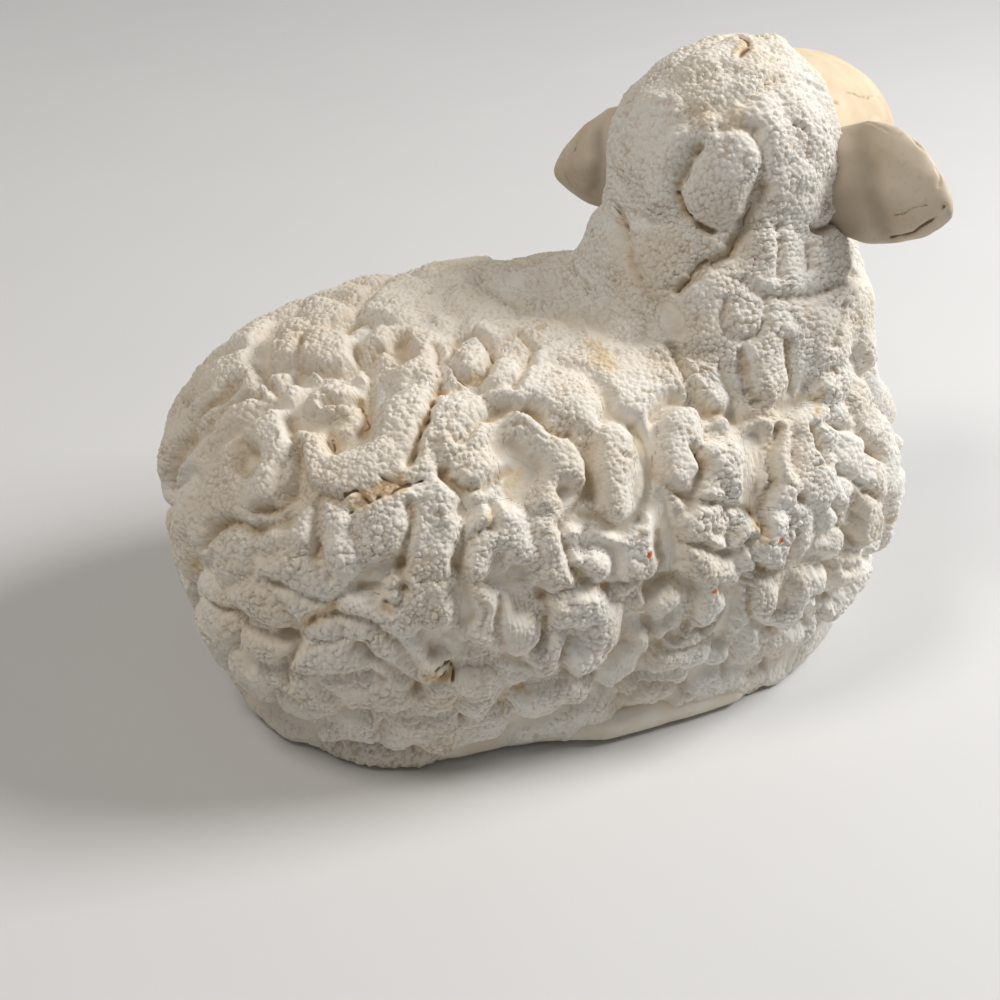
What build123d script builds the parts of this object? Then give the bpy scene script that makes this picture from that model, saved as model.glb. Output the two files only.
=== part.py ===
from build123d import *
import os
from math import ceil, copysign, cos, exp, hypot, pi, radians, sin

# Lying sheep with its head turned to its left, hand built from clay and covered in applied curls.
# +X runs from rump to chest, +Y to the sheep's left and +Z up. The origin is the middle of the
# flat underside. Lengths are in millimetres.

# Body: a hollow clay form without its wool
body_length = 155
body_width = 98
waist_height = 41
back_rise = 38.5
belly_drop = 57
body_wall = 7
plan_squareness = 2.9
profile_squareness = 2.3

# Base: a hand-pressed slab that closes the body from below
slab_thickness = 7
slab_overhang = 2.5
slab_bevel = 2
lump_depth = 4
vent_diameter = 9
vent_place_share = -0.3

# Neck: a tapered column between body and head
neck_root_height = 62
neck_root_length = 66
neck_root_width = 72
neck_waist_rise = 22
neck_waist_length = 54
neck_waist_width = 54
neck_top_length = 34
neck_top_width = 34
neck_place_share = 0.475
neck_root_shift = 3
neck_lean = 4

# Head, in its own frame: +X along the nose, +Y to its left, +Z up
head_rise = 27
head_sideways = 5
head_forward_share = 0.52
head_yaw = 30
head_pitch = -5
head_roll = -12
skull_radius = 21
nose_reach = 60
face_width = 40
face_height = 41

# Face details
eye_diameter = 6
eye_forward_share = 0.5
eye_angle = 1
eye_sink_share = 0.2
nostril_diameter = 2.6
nostril_forward_share = 0.93
nostril_angle = 48
mouth_width = 1.6
mouth_depth = 0.8
mouth_angle = 28
mouth_forward_share = 0.985
mouth_retreat_share = 0.13

# Ears: thick cupped leaves
ear_root_side = 14
ear_right_reach = 33
ear_left_reach = 38
ear_width = 26
ear_thickness = 6
ear_cup = 4
ear_drop = 4
ear_sweep = 5
ear_forward = 3
ear_edge_thinning_share = 0.7

# Wool: curls of soft clay pressed onto the form through a thin bed of slip
curl_width = 8.6
curl_pitch = 6.5
curl_height = 5
slip_bed = 0.25
overrun = 1

# A curl's section, as shares of its width and height, the turn of each of its steps in degrees, and
# how far its rounded ends reach and shrink, as shares of its width and size
curl_section_shares = ((-0.5, 0), (-0.33, 0.94), (0.33, 0.94), (0.5, 0))
curl_step = 50
end_reach_share = 0.34
end_size_share = 0.5

# A pad's rings: radius and height as shares of its radius and of a curl's height
pad_ring_shares = ((1, 0), (0.8, 0.7), (0.25, 1))

full_turn = 360
half_turn = 180
quarter_turn = 90
probe_share = 0.002

# Levels of the body's slices, as shares of a quarter turn up from its widest one
body_level_shares = (-0.38, -0.2, -0.07, 0.07, 0.2, 0.33, 0.46, 0.58, 0.7, 0.82)
body_sides = 30
cavity_level_shares = (-0.38, -0.12, 0.15, 0.42, 0.66, 0.82)
cavity_sides = 20
slab_sides = 40
neck_sides = 18
head_sides = 20
pebble_sides = 10
pebble_latitudes = (-72, -36, 0, 36, 72)
mouth_steps = 8
pad_sides = 8

# The face from the middle of the skull to the nose: place along it, then half width, half
# height and drop of each slice
face_slice_shares = (
    (0.15, 1.03, 1.02, 0.00),
    (0.35, 1.02, 1.00, 0.00),
    (0.55, 0.96, 0.95, 0.03),
    (0.73, 0.82, 0.82, 0.10),
    (0.88, 0.62, 0.60, 0.18),
    (0.97, 0.38, 0.36, 0.24),
    (1.00, 0.16, 0.15, 0.26),
)
skull_slice_shares = (-0.97, -0.86, -0.64, -0.34, 0.0)

# The ear from root to tip: place along it, then half width, drop and thickness
ear_slice_shares = (
    (0.00, 0.62, 0.00, 1.00),
    (0.22, 0.84, 0.00, 1.00),
    (0.42, 1.00, 0.00, 0.95),
    (0.60, 0.94, 0.03, 0.85),
    (0.78, 0.74, 0.11, 0.72),
    (0.92, 0.42, 0.21, 0.55),
    (1.00, 0.15, 0.28, 0.35),
)
ear_across_shares = (-1, -0.6, 0, 0.6, 1)

# Lumps along the slab's edge: place round it, width and height
lump_shares = (
    (-0.69, 0.060, 0.75), (-0.56, 0.045, -0.70), (-0.485, 0.035, 0.80), (-0.40, 0.035, 0.30),
    (-0.25, 0.050, 0.35), (-0.08, 0.060, -0.20), (0.10, 0.060, 0.40), (0.28, 0.050, -0.30),
    (0.42, 0.045, 0.60), (0.58, 0.050, -0.35), (0.72, 0.050, 0.60), (0.88, 0.060, 0.20),
    (-0.90, 0.050, 0.25),
)

# Curls: place round the form and up it, heading and bend in degrees, length and width.
# Round goes from 0 at the chest to 1 at the rump, below zero on the sheep's right. Up is a share
# of a quarter turn. Length is a share of the curls' pitch, width of their width, and no length is a pad.
right_haunch_low_shares = (
    (-0.625, -0.165, 0, 0, 0, 1.25), (-0.650, -0.275, 4, 20, 1.7, 0.85),
    (-0.700, -0.150, -8, 30, 1.8, 0.85), (-0.728, -0.275, -4, 0, 1.5, 0.80),
    (-0.785, -0.245, -12, 0, 1.4, 0.80), (-0.775, -0.150, -14, -30, 1.5, 0.80),
    (-0.655, -0.045, -35, -20, 1.7, 0.95), (-0.738, -0.060, 18, 60, 1.7, 0.90),
    (-0.812, -0.055, 0, 0, 0, 0.95),
)
right_haunch_shares = (
    (-0.675, 0.045, 8, 120, 2.5, 0.90), (-0.655, 0.120, 0, 0, 0, 0.60),
    (-0.755, 0.045, -32, 60, 1.5, 0.85), (-0.825, 0.025, -18, 0, 1.1, 0.80),
    (-0.738, 0.200, 74, 20, 1.6, 1.05), (-0.792, 0.245, 182, 140, 1.9, 0.85),
    (-0.798, 0.130, 30, 30, 0.8, 0.75), (-0.868, 0.135, 98, 0, 1.7, 0.95),
    (-0.620, 0.080, 62, 0, 0.8, 0.75),
)
right_hip_shares = (
    (-0.680, 0.310, 176, 140, 2.4, 1.00), (-0.628, 0.285, 90, 15, 2.0, 0.95),
    (-0.790, 0.430, 10, 130, 2.7, 1.00), (-0.652, 0.575, 76, -20, 1.1, 0.90),
    (-0.733, 0.590, 84, 20, 1.3, 0.95), (-0.905, 0.570, 0, 0, 0, 0.85),
    (-0.610, 0.440, 80, 0, 1.0, 0.75), (-0.693, 0.462, 20, 0, 0.6, 0.75),
)
rump_right_shares = (
    (-0.885, 0.370, 98, 190, 3.0, 1.10), (-0.952, 0.310, 0, 0, 0, 1.00),
    (-0.945, 0.155, 102, 0, 1.5, 0.75), (-0.905, -0.070, 108, 20, 1.8, 0.85),
    (-0.860, -0.190, 118, 0, 1.5, 0.80), (-0.985, 0.020, 92, 0, 2.0, 0.85),
    (-0.950, -0.200, 98, 20, 1.6, 0.80),
)
rump_left_shares = (
    (0.968, 0.330, 90, 12, 2.2, 1.00), (0.945, 0.090, 88, -20, 2.0, 0.95),
    (0.975, -0.200, 84, 0, 1.8, 0.85), (0.905, 0.340, 82, 90, 1.8, 0.90),
    (0.880, -0.060, 80, 0, 2.0, 0.90), (0.910, -0.230, 10, 40, 1.3, 0.80),
)
croup_shares = (
    (0.985, 0.600, 34, -130, 2.5, 1.00), (-0.895, 0.775, -18, -170, 3.0, 1.00),
    (0.905, 0.765, 8, 40, 1.6, 0.90),
    (0.835, 0.620, 30, 60, 1.6, 0.90), (0.960, 0.905, 4, 50, 1.8, 0.90),
)
right_flank_low_shares = (
    (-0.575, 0.005, -52, 30, 2.0, 0.95), (-0.508, -0.025, 112, 165, 3.0, 0.90),
    (-0.537, -0.085, 0, 0, 0, 0.90), (-0.528, -0.225, 10, 10, 1.5, 0.85),
    (-0.465, -0.155, 14, 30, 1.6, 0.85), (-0.587, -0.165, 84, 0, 0.9, 0.75),
    (-0.484, -0.255, 10, 0, 1.3, 0.70), (-0.587, -0.285, 4, 0, 1.3, 0.60),
)
right_flank_shares = (
    (-0.577, 0.240, 180, 205, 3.2, 0.85), (-0.543, 0.205, 268, 165, 2.4, 0.90),
    (-0.493, -0.005, 0, 0, 0, 0.85), (-0.463, 0.000, 96, 150, 2.4, 0.75),
    (-0.481, 0.082, 0, 0, 0, 0.45), (-0.470, 0.205, 268, 225, 2.6, 0.90),
    (-0.424, 0.110, 40, 0, 1.2, 0.85), (-0.514, 0.108, 0, 0, 0, 0.60),
)
right_flank_high_shares = (
    (-0.540, 0.445, 100, 150, 2.8, 0.95), (-0.503, 0.395, 80, -60, 1.6, 0.85),
    (-0.550, 0.665, -36, 0, 2.4, 1.10), (-0.730, 0.765, 0, 0, 0, 0.95),
    (-0.470, 0.420, 68, 20, 1.6, 0.85), (-0.440, 0.350, 88, 0, 0.8, 0.70),
)
right_shoulder_shares = (
    (-0.383, 0.350, 84, 30, 2.4, 0.85), (-0.328, 0.385, 200, 200, 2.4, 0.80),
    (-0.425, -0.055, 0, 0, 0, 1.20), (-0.345, 0.190, 92, 30, 1.6, 0.85),
    (-0.390, 0.070, 40, 40, 1.4, 0.85), (-0.443, -0.155, 86, 0, 0.9, 0.70),
    (-0.405, -0.190, 84, 10, 1.1, 0.75), (-0.365, -0.110, 60, 80, 1.8, 0.85),
    (-0.355, -0.250, 12, 0, 1.6, 0.75),
)
chest_right_shares = (
    (-0.288, 0.270, 80, 30, 1.8, 0.80), (-0.270, 0.060, 92, -40, 2.0, 0.85),
    (-0.300, -0.085, 0, 0, 0, 0.95), (-0.255, -0.190, 30, 40, 1.7, 0.80),
    (-0.205, 0.370, 0, 0, 0, 1.05), (-0.195, 0.170, 90, 80, 2.1, 0.85),
    (-0.165, -0.040, 84, 0, 2.0, 0.85), (-0.150, -0.230, 10, 30, 1.8, 0.80),
    (-0.100, 0.290, 100, -60, 2.0, 0.85),
)
chest_left_shares = (
    (-0.030, 0.130, 90, 120, 2.5, 0.90), (-0.040, -0.100, 0, 0, 0, 1.10),
    (0.010, -0.240, 8, 20, 1.8, 0.80), (0.050, 0.340, 84, 40, 1.8, 0.90),
    (0.090, 0.010, 95, -100, 2.4, 0.90), (0.145, 0.230, 88, 0, 1.8, 0.90),
    (0.165, -0.190, 20, 40, 1.8, 0.80), (0.210, 0.060, 80, 60, 2.1, 0.90),
    (0.240, 0.310, 0, 0, 0, 1.10),
)
back_shares = (
    (-0.680, 0.880, 10, 40, 1.9, 0.95), (0.450, 0.880, 20, -60, 1.9, 0.90),
    (0.560, 0.770, 10, 80, 1.8, 0.90), (0.670, 0.720, 70, 0, 1.1, 0.85),
)

# Wool of the neck: up is the share of the neck's height
neck_right_shares = (
    (-0.560, 0.380, 84, 0, 1.8, 0.95), (-0.390, 0.350, 88, 20, 2.0, 0.95),
    (-0.510, 0.710, 74, 60, 1.5, 0.90), (-0.330, 0.680, 92, 0, 1.2, 0.85),
    (-0.230, 0.350, 84, 0, 1.8, 0.85),
)
nape_shares = (
    (-0.720, 0.560, 78, 0, 1.6, 0.90), (-0.870, 0.500, 88, 30, 1.9, 0.90),
    (0.960, 0.560, 90, 0, 1.6, 0.90), (0.800, 0.480, 96, -30, 1.8, 0.90),
)
neck_left_shares = (
    (0.640, 0.440, 90, 60, 2.0, 0.90), (0.480, 0.500, 84, 0, 1.6, 0.90),
    (0.340, 0.400, 92, -60, 2.0, 0.90), (0.190, 0.440, 88, 0, 1.6, 0.90),
)
throat_shares = (
    (0.060, 0.400, 90, 0, 1.7, 0.90), (-0.080, 0.340, 86, 20, 1.6, 0.85),
)

# Wool of the head, round the skull from the nose
crown_shares = (
    (-0.560, 0.800, 20, 40, 1.5, 0.80), (-0.880, 0.760, 80, 40, 1.3, 0.80),
    (0.640, 0.780, 120, -40, 1.4, 0.80), (0.200, 0.760, 40, 60, 1.5, 0.80),
    (-0.200, 0.700, 120, 40, 1.4, 0.80),
)
poll_right_shares = (
    (-0.825, 0.080, 86, -10, 1.8, 1.15), (-0.690, 0.330, 112, 80, 1.9, 0.80),
    (-0.640, 0.020, 0, 0, 0, 0.95), (-0.550, 0.270, 96, 0, 1.3, 0.75),
    (-0.590, -0.200, 0, 0, 0, 0.80), (-0.880, 0.450, 96, 0, 1.0, 0.80),
)
poll_left_shares = (
    (0.985, 0.140, 86, -50, 2.4, 0.80), (0.860, 0.250, 92, 30, 1.8, 0.80),
    (0.720, 0.240, 84, 0, 1.6, 0.80), (0.580, 0.260, 70, 40, 1.5, 0.80),
    (0.800, -0.120, 0, 0, 0, 0.95), (0.640, -0.160, 84, 0, 1.2, 0.80),
)


def signed_power(value, exponent):
    return copysign(abs(value) ** exponent, value)


def oval(half_x, half_y, squareness, sides):
    """Points of a rounded rectangle, from an ellipse at squareness 2."""
    turns = [2 * pi * i / sides for i in range(sides)]
    return [
        (half_x * signed_power(cos(t), 2 / squareness), half_y * signed_power(sin(t), 2 / squareness))
        for t in turns
    ]


def polygon(points):
    return Face(Wire.make_polygon(points, close=True))


def facets(rings, level=False):
    """A solid of flat facets through rings with as many points each, closed at both ends."""
    faces = [polygon(rings[0]), polygon(rings[-1])]
    count = len(rings[0])
    for near, far in zip(rings, rings[1:]):
        for i in range(count):
            j = (i + 1) % count
            a, b, c, d = near[i], near[j], far[j], far[i]
            if level:
                faces.append(polygon([a, b, c, d]))
            else:
                faces.append(polygon([a, b, c]))
                faces.append(polygon([a, c, d]))
    return Solid(Shell(faces))


class Form:
    """A rounded form. Its reach is 1 on the skin, less inside and more outside."""

    def seat(self, point):
        middle = self.middle(point)
        return middle + (point - middle) / self.reach(point)

    def normal(self, point):
        step = curl_width * probe_share
        probes = (Vector(step, 0, 0), Vector(0, step, 0), Vector(0, 0, step))
        return Vector(*[self.reach(point + p) - self.reach(point - p) for p in probes]).normalized()


class Ball(Form):
    """Slices that grow and shrink about one middle."""

    def __init__(self, frame, half_x, half_y, rise, drop, plan, profile):
        self.frame = frame
        self.half_x, self.half_y = half_x, half_y
        self.rise, self.drop = rise, drop
        self.plan, self.profile = plan, profile

    def slice_at(self, up_share):
        turn = radians(quarter_turn * up_share)
        scale = cos(turn) ** (2 / self.profile)
        height = signed_power(sin(turn), 2 / self.profile)
        return scale, height * (self.rise if height > 0 else self.drop)

    def place(self, around, up):
        scale, height = self.slice_at(up)
        turn = pi * around
        x = self.half_x * scale * signed_power(cos(turn), 2 / self.plan)
        y = self.half_y * scale * signed_power(sin(turn), 2 / self.plan)
        return self.frame.from_local_coords(Vector(x, y, height))

    def middle(self, point):
        return self.frame.origin

    def reach(self, point):
        p = self.frame.to_local_coords(point)
        flat = abs(p.X / self.half_x) ** self.plan + abs(p.Y / self.half_y) ** self.plan
        tall = abs(p.Z / (self.rise if p.Z > 0 else self.drop)) ** self.profile
        return (flat ** (self.profile / self.plan) + tall) ** (1 / self.profile)

    def solid(self, level_shares, sides):
        rings = []
        for level in level_shares:
            scale, height = self.slice_at(level)
            outline = oval(self.half_x * scale, self.half_y * scale, self.plan, sides)
            rings.append([self.frame.from_local_coords(Vector(x, y, height)) for x, y in outline])
        return facets(rings, level=True)


class Column(Form):
    """Oval slices stacked along Z, each with its own middle."""

    def __init__(self, slices):
        self.slices = slices

    def slice_at(self, height):
        for low, high in zip(self.slices, self.slices[1:]):
            if height <= high[0] or high is self.slices[-1]:
                share = (height - low[0]) / (high[0] - low[0])
                return [a + share * (b - a) for a, b in zip(low, high)]

    def place(self, around, up):
        height = self.slices[0][0] + up * (self.slices[-1][0] - self.slices[0][0])
        _, x, y, half_x, half_y = self.slice_at(height)
        return Vector(x + half_x * cos(pi * around), y + half_y * sin(pi * around), height)

    def middle(self, point):
        _, x, y, _, _ = self.slice_at(point.Z)
        return Vector(x, y, point.Z)

    def reach(self, point):
        _, x, y, half_x, half_y = self.slice_at(point.Z)
        return hypot((point.X - x) / half_x, (point.Y - y) / half_y)

    def solid(self, sides):
        rings = []
        for height, x, y, half_x, half_y in self.slices:
            rings.append([Vector(x + u, y + v, height) for u, v in oval(half_x, half_y, 2, sides)])
        return facets(rings)


# The body, its slab and its neck
body_frame = Plane(origin=(0, 0, waist_height))
body_form = Ball(
    body_frame, body_length / 2, body_width / 2, back_rise, belly_drop,
    plan_squareness, profile_squareness,
)
cavity_form = Ball(
    body_frame, body_length / 2 - body_wall, body_width / 2 - body_wall,
    back_rise - body_wall, belly_drop, plan_squareness, profile_squareness,
)


def below(height):
    """A block that takes away everything under a height."""
    depth = belly_drop
    block = Box(body_length + body_width, body_length + body_width, depth)
    return Pos(0, 0, height - depth / 2) * block


def make_body_shell():
    solid = body_form.solid(body_level_shares, body_sides)
    cavity = cavity_form.solid(cavity_level_shares, cavity_sides)
    return solid - cavity - below(slab_thickness)


def lump_at(turn_share):
    """How far the slab's edge swells at a place round it, as a share of a lump."""
    total = 0
    for place, width, height in lump_shares:
        gap = (turn_share - place + 1) % 2 - 1
        total += height * exp(-((gap / width) ** 2))
    return total


def make_base_slab():
    level = (waist_height - slab_thickness) / belly_drop
    scale = (1 - level ** profile_squareness) ** (1 / profile_squareness)
    half_x = body_length / 2 * scale + slab_overhang
    half_y = body_width / 2 * scale + slab_overhang
    rings = []
    edges = (
        (0, slab_bevel), (slab_bevel, 0), (slab_thickness - slab_bevel, 0), (slab_thickness, slab_bevel),
    )
    for height, inset in edges:
        points = []
        for i, (x, y) in enumerate(oval(half_x, half_y, plan_squareness, slab_sides)):
            swell = lump_depth * lump_at(2 * i / slab_sides) - inset
            reach = hypot(x, y)
            points.append(Vector(x * (reach + swell) / reach, y * (reach + swell) / reach, height))
        rings.append(points)
    vent = Cylinder(vent_diameter / 2, slab_thickness + 2 * overrun)
    vent = Pos(body_length / 2 * vent_place_share, 0, slab_thickness / 2) * vent
    return facets(rings) - vent


head_origin = Vector(
    body_length / 2 * head_forward_share, head_sideways, waist_height + back_rise + head_rise
)
neck_x = body_length / 2 * neck_place_share
neck_form = Column((
    (neck_root_height, neck_x, -neck_root_shift, neck_root_length / 2, neck_root_width / 2),
    (
        neck_root_height + neck_waist_rise, neck_x + neck_lean, 0,
        neck_waist_length / 2, neck_waist_width / 2,
    ),
    (head_origin.Z, head_origin.X, head_origin.Y, neck_top_length / 2, neck_top_width / 2),
))


# The head, in a frame turned, nodded and tilted about its middle
def make_head_frame():
    nod = Vector(cos(radians(head_pitch)), 0, sin(radians(head_pitch)))
    forward = nod.rotate(Axis.Z, head_yaw)
    left = Vector(0, 1, 0).rotate(Axis.Z, head_yaw)
    up = forward.cross(left).rotate(Axis((0, 0, 0), forward), head_roll)
    return Plane(origin=head_origin, x_dir=forward, z_dir=up)


head_frame = make_head_frame()
skull_form = Ball(head_frame, skull_radius, skull_radius, skull_radius, skull_radius, 2, 2)


def in_head(x, y, z):
    return head_frame.from_local_coords(Vector(x, y, z))


def face_slice(forward_share):
    """Half width, half height and drop of the face at a share of its length."""
    rows = ((0, 2 * skull_radius / face_width, 2 * skull_radius / face_height, 0),) + face_slice_shares
    for low, high in zip(rows, rows[1:]):
        if forward_share <= high[0]:
            share = (forward_share - low[0]) / (high[0] - low[0])
            _, wide, tall, drop = [a + share * (b - a) for a, b in zip(low, high)]
            return wide * face_width / 2, tall * face_height / 2, drop * face_height / 2


def on_face(forward_share, angle, lift=0):
    """A point of the face, by its place along the nose and its angle above the left side."""
    wide, tall, drop = face_slice(forward_share)
    turn = radians(angle)
    return in_head(
        forward_share * nose_reach, (wide + lift) * cos(turn), (tall + lift) * sin(turn) - drop
    )


def make_head():
    rings = []
    for share in skull_slice_shares:
        radius = skull_radius * (1 - share ** 2) ** 0.5
        rings.append([
            in_head(share * skull_radius, y, z) for y, z in oval(radius, radius, 2, head_sides)
        ])
    for share, _, _, _ in face_slice_shares:
        rings.append([on_face(share, full_turn * i / head_sides) for i in range(head_sides)])
    return facets(rings)


def pebble(middle, direction, radius):
    """A small faceted ball."""
    frame = Plane(origin=middle, z_dir=direction)
    rings = []
    for latitude in pebble_latitudes:
        ring_radius = radius * cos(radians(latitude))
        height = radius * sin(radians(latitude))
        outline = oval(ring_radius, ring_radius, 2, pebble_sides)
        rings.append([frame.from_local_coords(Vector(x, y, height)) for x, y in outline])
    return facets(rings)


def make_eye(side):
    angle = eye_angle if side > 0 else half_turn - eye_angle
    middle = on_face(eye_forward_share, angle, -eye_diameter * eye_sink_share)
    outward = on_face(eye_forward_share, angle, eye_diameter) - middle
    return pebble(middle, outward, eye_diameter / 2)


def make_nostrils():
    holes = []
    for angle in (nostril_angle, half_turn - nostril_angle):
        middle = on_face(nostril_forward_share, angle)
        holes.append(pebble(middle, head_frame.x_dir, nostril_diameter / 2))
    return holes


def make_mouth():
    """A groove pressed round the nose below the nostrils."""
    rings = []
    for i in range(mouth_steps + 1):
        swing = 2 * i / mouth_steps - 1
        angle = -quarter_turn + swing * (quarter_turn - mouth_angle)
        forward = mouth_forward_share - mouth_retreat_share * swing ** 2
        skin = on_face(forward, angle)
        deep = on_face(forward, angle, -mouth_depth)
        out = on_face(forward, angle, mouth_depth)
        across = head_frame.x_dir * mouth_width / 2
        rings.append([skin - across, deep, skin + across, out])
    return facets(rings)


def make_ear(side):
    """A leaf whose long edges curl forward, from inside the head to its tip."""
    reach = ear_left_reach if side > 0 else ear_right_reach
    rings = []
    for share, wide, drop, thick in ear_slice_shares:
        half = wide * ear_width / 2
        behind, before = [], []
        for v in ear_across_shares:
            x = ear_forward + ear_sweep * share + ear_cup * v ** 2 * wide
            y = side * (ear_root_side + reach * share)
            z = v * half - ear_drop - drop * ear_width / 2
            depth = ear_thickness * thick / 2 * (1 - ear_edge_thinning_share * v ** 2)
            behind.append(in_head(x - depth, y, z))
            before.append(in_head(x + depth, y, z))
        rings.append(behind + before[::-1])
    return facets(rings)


# The wool
def curl_frames(form, around, up, heading, bend, length):
    """Seats and directions along a curl, as a bent line laid onto the form's skin."""
    middle = form.place(around, up)
    normal = form.normal(middle)
    level = Vector(0, 0, 1).cross(normal).normalized()
    rising = normal.cross(level)
    steps = max(2, ceil(abs(bend) / curl_step))
    angles = [radians(heading + bend * (2 * i / steps - 1) / 2) for i in range(steps + 1)]
    spots = [(0.0, 0.0)]
    for a, b in zip(angles, angles[1:]):
        x, y = spots[-1]
        run = length / steps
        spots.append((x + run * cos((a + b) / 2), y + run * sin((a + b) / 2)))
    centre_x = sum(x for x, _ in spots) / len(spots)
    centre_y = sum(y for _, y in spots) / len(spots)
    if bend == 0 or steps % 2 == 0:
        centre_x, centre_y = spots[steps // 2]
    frames = []
    for (x, y), angle in zip(spots, angles):
        flat = middle + level * (x - centre_x) + rising * (y - centre_y)
        seat = form.seat(flat)
        along = level * cos(angle) + rising * sin(angle)
        frames.append((seat, along))
    return frames


def curl_ring(form, seat, along, width, size):
    normal = form.normal(seat)
    side = normal.cross(along).normalized()
    foot = seat + normal * slip_bed
    width, height = width * size, curl_height * size
    return [foot + side * (u * width) + normal * (v * height) for u, v in curl_section_shares]


def make_curl(form, around, up, heading, bend, length_share, width_share):
    width = curl_width * width_share
    if length_share == 0:
        return make_pad(form, around, up, width)
    frames = curl_frames(form, around, up, heading, bend, length_share * curl_pitch)
    rings = [curl_ring(form, seat, along, width, 1) for seat, along in frames]
    for (seat, along), end in ((frames[0], -1), (frames[-1], 1)):
        tip = form.seat(seat + along * (end * width * end_reach_share))
        ring = curl_ring(form, tip, along, width, end_size_share)
        if end < 0:
            rings.insert(0, ring)
        else:
            rings.append(ring)
    return facets(rings)


def make_pad(form, around, up, width):
    """A round lump pressed on by a fingertip."""
    seat = form.place(around, up)
    normal = form.normal(seat)
    level = Vector(0, 0, 1).cross(normal).normalized()
    rising = normal.cross(level)
    rings = []
    for size, lift in pad_ring_shares:
        ring = []
        for i in range(pad_sides):
            turn = 2 * pi * i / pad_sides
            spot = seat + (level * cos(turn) + rising * sin(turn)) * (size * width / 2)
            ring.append(spot + normal * (slip_bed + lift * curl_height))
        rings.append(ring)
    return facets(rings)


def boxes_meet(a, b):
    """Whether two boxes meet."""
    return all(
        low <= high and other_low <= other_high
        for low, high, other_low, other_high in (
            (a.min.X, b.max.X, b.min.X, a.max.X),
            (a.min.Y, b.max.Y, b.min.Y, a.max.Y),
            (a.min.Z, b.max.Z, b.min.Z, a.max.Z),
        )
    )


def largest(shape):
    return max(shape.solids(), key=lambda solid: solid.volume)


def mirrored(rows):
    """The same curls on the sheep's other side."""
    return tuple(
        (-around, up, half_turn - heading, -bend, long, wide)
        for around, up, heading, bend, long, wide in rows
    )


body_shell = make_body_shell()
base_slab = make_base_slab()
head_blank = make_head()
eyes = {"eye_left": make_eye(1), "eye_right": make_eye(-1)}
body_blank = body_form.solid(body_level_shares, body_sides)
neck_collar = largest(neck_form.solid(neck_sides) - [body_blank, head_blank])
ears = {
    "ear_left": largest(make_ear(1) - [head_blank, neck_collar]),
    "ear_right": largest(make_ear(-1) - [head_blank, neck_collar]),
}
head = largest(head_blank - list(eyes.values()) - make_nostrils() - make_mouth())

nodes = {
    "body_shell": [largest(body_shell)],
    "base_slab": [largest(base_slab)],
    "neck_collar": [neck_collar],
    "head": [head],
}
for name, solid in {**ears, **eyes}.items():
    nodes[name] = [solid]

groups = (
    ("curls_haunch_right_low", body_form, right_haunch_low_shares),
    ("curls_haunch_right", body_form, right_haunch_shares),
    ("curls_hip_right", body_form, right_hip_shares),
    ("curls_rump_right", body_form, rump_right_shares),
    ("curls_flank_right_low", body_form, right_flank_low_shares),
    ("curls_flank_right", body_form, right_flank_shares),
    ("curls_flank_right_high", body_form, right_flank_high_shares),
    ("curls_shoulder_right", body_form, right_shoulder_shares),
    ("curls_chest_right", body_form, chest_right_shares),
    ("curls_rump_left", body_form, rump_left_shares),
    ("curls_croup", body_form, croup_shares),
    ("curls_haunch_left_low", body_form, mirrored(right_haunch_low_shares)),
    ("curls_haunch_left", body_form, mirrored(right_haunch_shares)),
    ("curls_hip_left", body_form, mirrored(right_hip_shares)),
    ("curls_flank_left_low", body_form, mirrored(right_flank_low_shares)),
    ("curls_flank_left", body_form, mirrored(right_flank_shares)),
    ("curls_flank_left_high", body_form, mirrored(right_flank_high_shares)),
    ("curls_shoulder_left", body_form, mirrored(right_shoulder_shares)),
    ("curls_chest_left", body_form, chest_left_shares),
    ("curls_back", body_form, back_shares),
    ("curls_neck_right", neck_form, neck_right_shares),
    ("curls_nape", neck_form, nape_shares),
    ("curls_neck_left", neck_form, neck_left_shares),
    ("curls_throat", neck_form, throat_shares),
    ("curls_crown", skull_form, crown_shares),
    ("curls_poll_right", skull_form, poll_right_shares),
    ("curls_poll_left", skull_form, poll_left_shares),
)

carriers = [body_blank, nodes["base_slab"][0], neck_collar, head_blank] + list(ears.values())
placed = [(solid, solid.bounding_box()) for solid in carriers]
for name, form, rows in groups:
    solids = []
    for row in rows:
        curl = make_curl(form, *row)
        box = curl.bounding_box()
        hits = [solid for solid, other in placed if boxes_meet(box, other)]
        if hits:
            curl = largest(curl - hits)
        placed.append((curl, curl.bounding_box()))
        solids.append(curl)
    nodes[name] = solids

os.makedirs("parts", exist_ok=True)
for name, solids in nodes.items():
    shape = solids[0] if len(solids) == 1 else Compound(children=solids)
    export_step(shape, f"parts/{name}.step")
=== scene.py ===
"""Looks of the lying sheep figurine: a pebbled, crawled fleece of clay curls over smooth cream clay."""

import math

import bmesh
import bpy
import numpy as np
from mathutils import Matrix, Vector
from mathutils.bvhtree import BVHTree
from mathutils.kdtree import KDTree


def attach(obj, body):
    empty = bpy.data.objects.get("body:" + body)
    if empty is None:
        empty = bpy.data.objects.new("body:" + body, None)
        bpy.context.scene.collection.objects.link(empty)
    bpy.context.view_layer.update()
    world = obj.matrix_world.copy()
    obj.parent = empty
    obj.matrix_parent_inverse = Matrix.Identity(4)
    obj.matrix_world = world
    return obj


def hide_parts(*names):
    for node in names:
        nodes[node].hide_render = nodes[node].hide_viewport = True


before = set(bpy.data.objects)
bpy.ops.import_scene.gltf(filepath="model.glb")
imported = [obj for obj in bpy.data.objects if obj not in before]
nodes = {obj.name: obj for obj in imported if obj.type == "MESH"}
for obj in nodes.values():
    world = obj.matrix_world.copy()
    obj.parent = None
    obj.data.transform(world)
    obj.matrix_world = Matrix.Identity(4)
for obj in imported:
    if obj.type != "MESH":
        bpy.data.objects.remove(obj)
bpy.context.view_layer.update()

MM = 0.001

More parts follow.
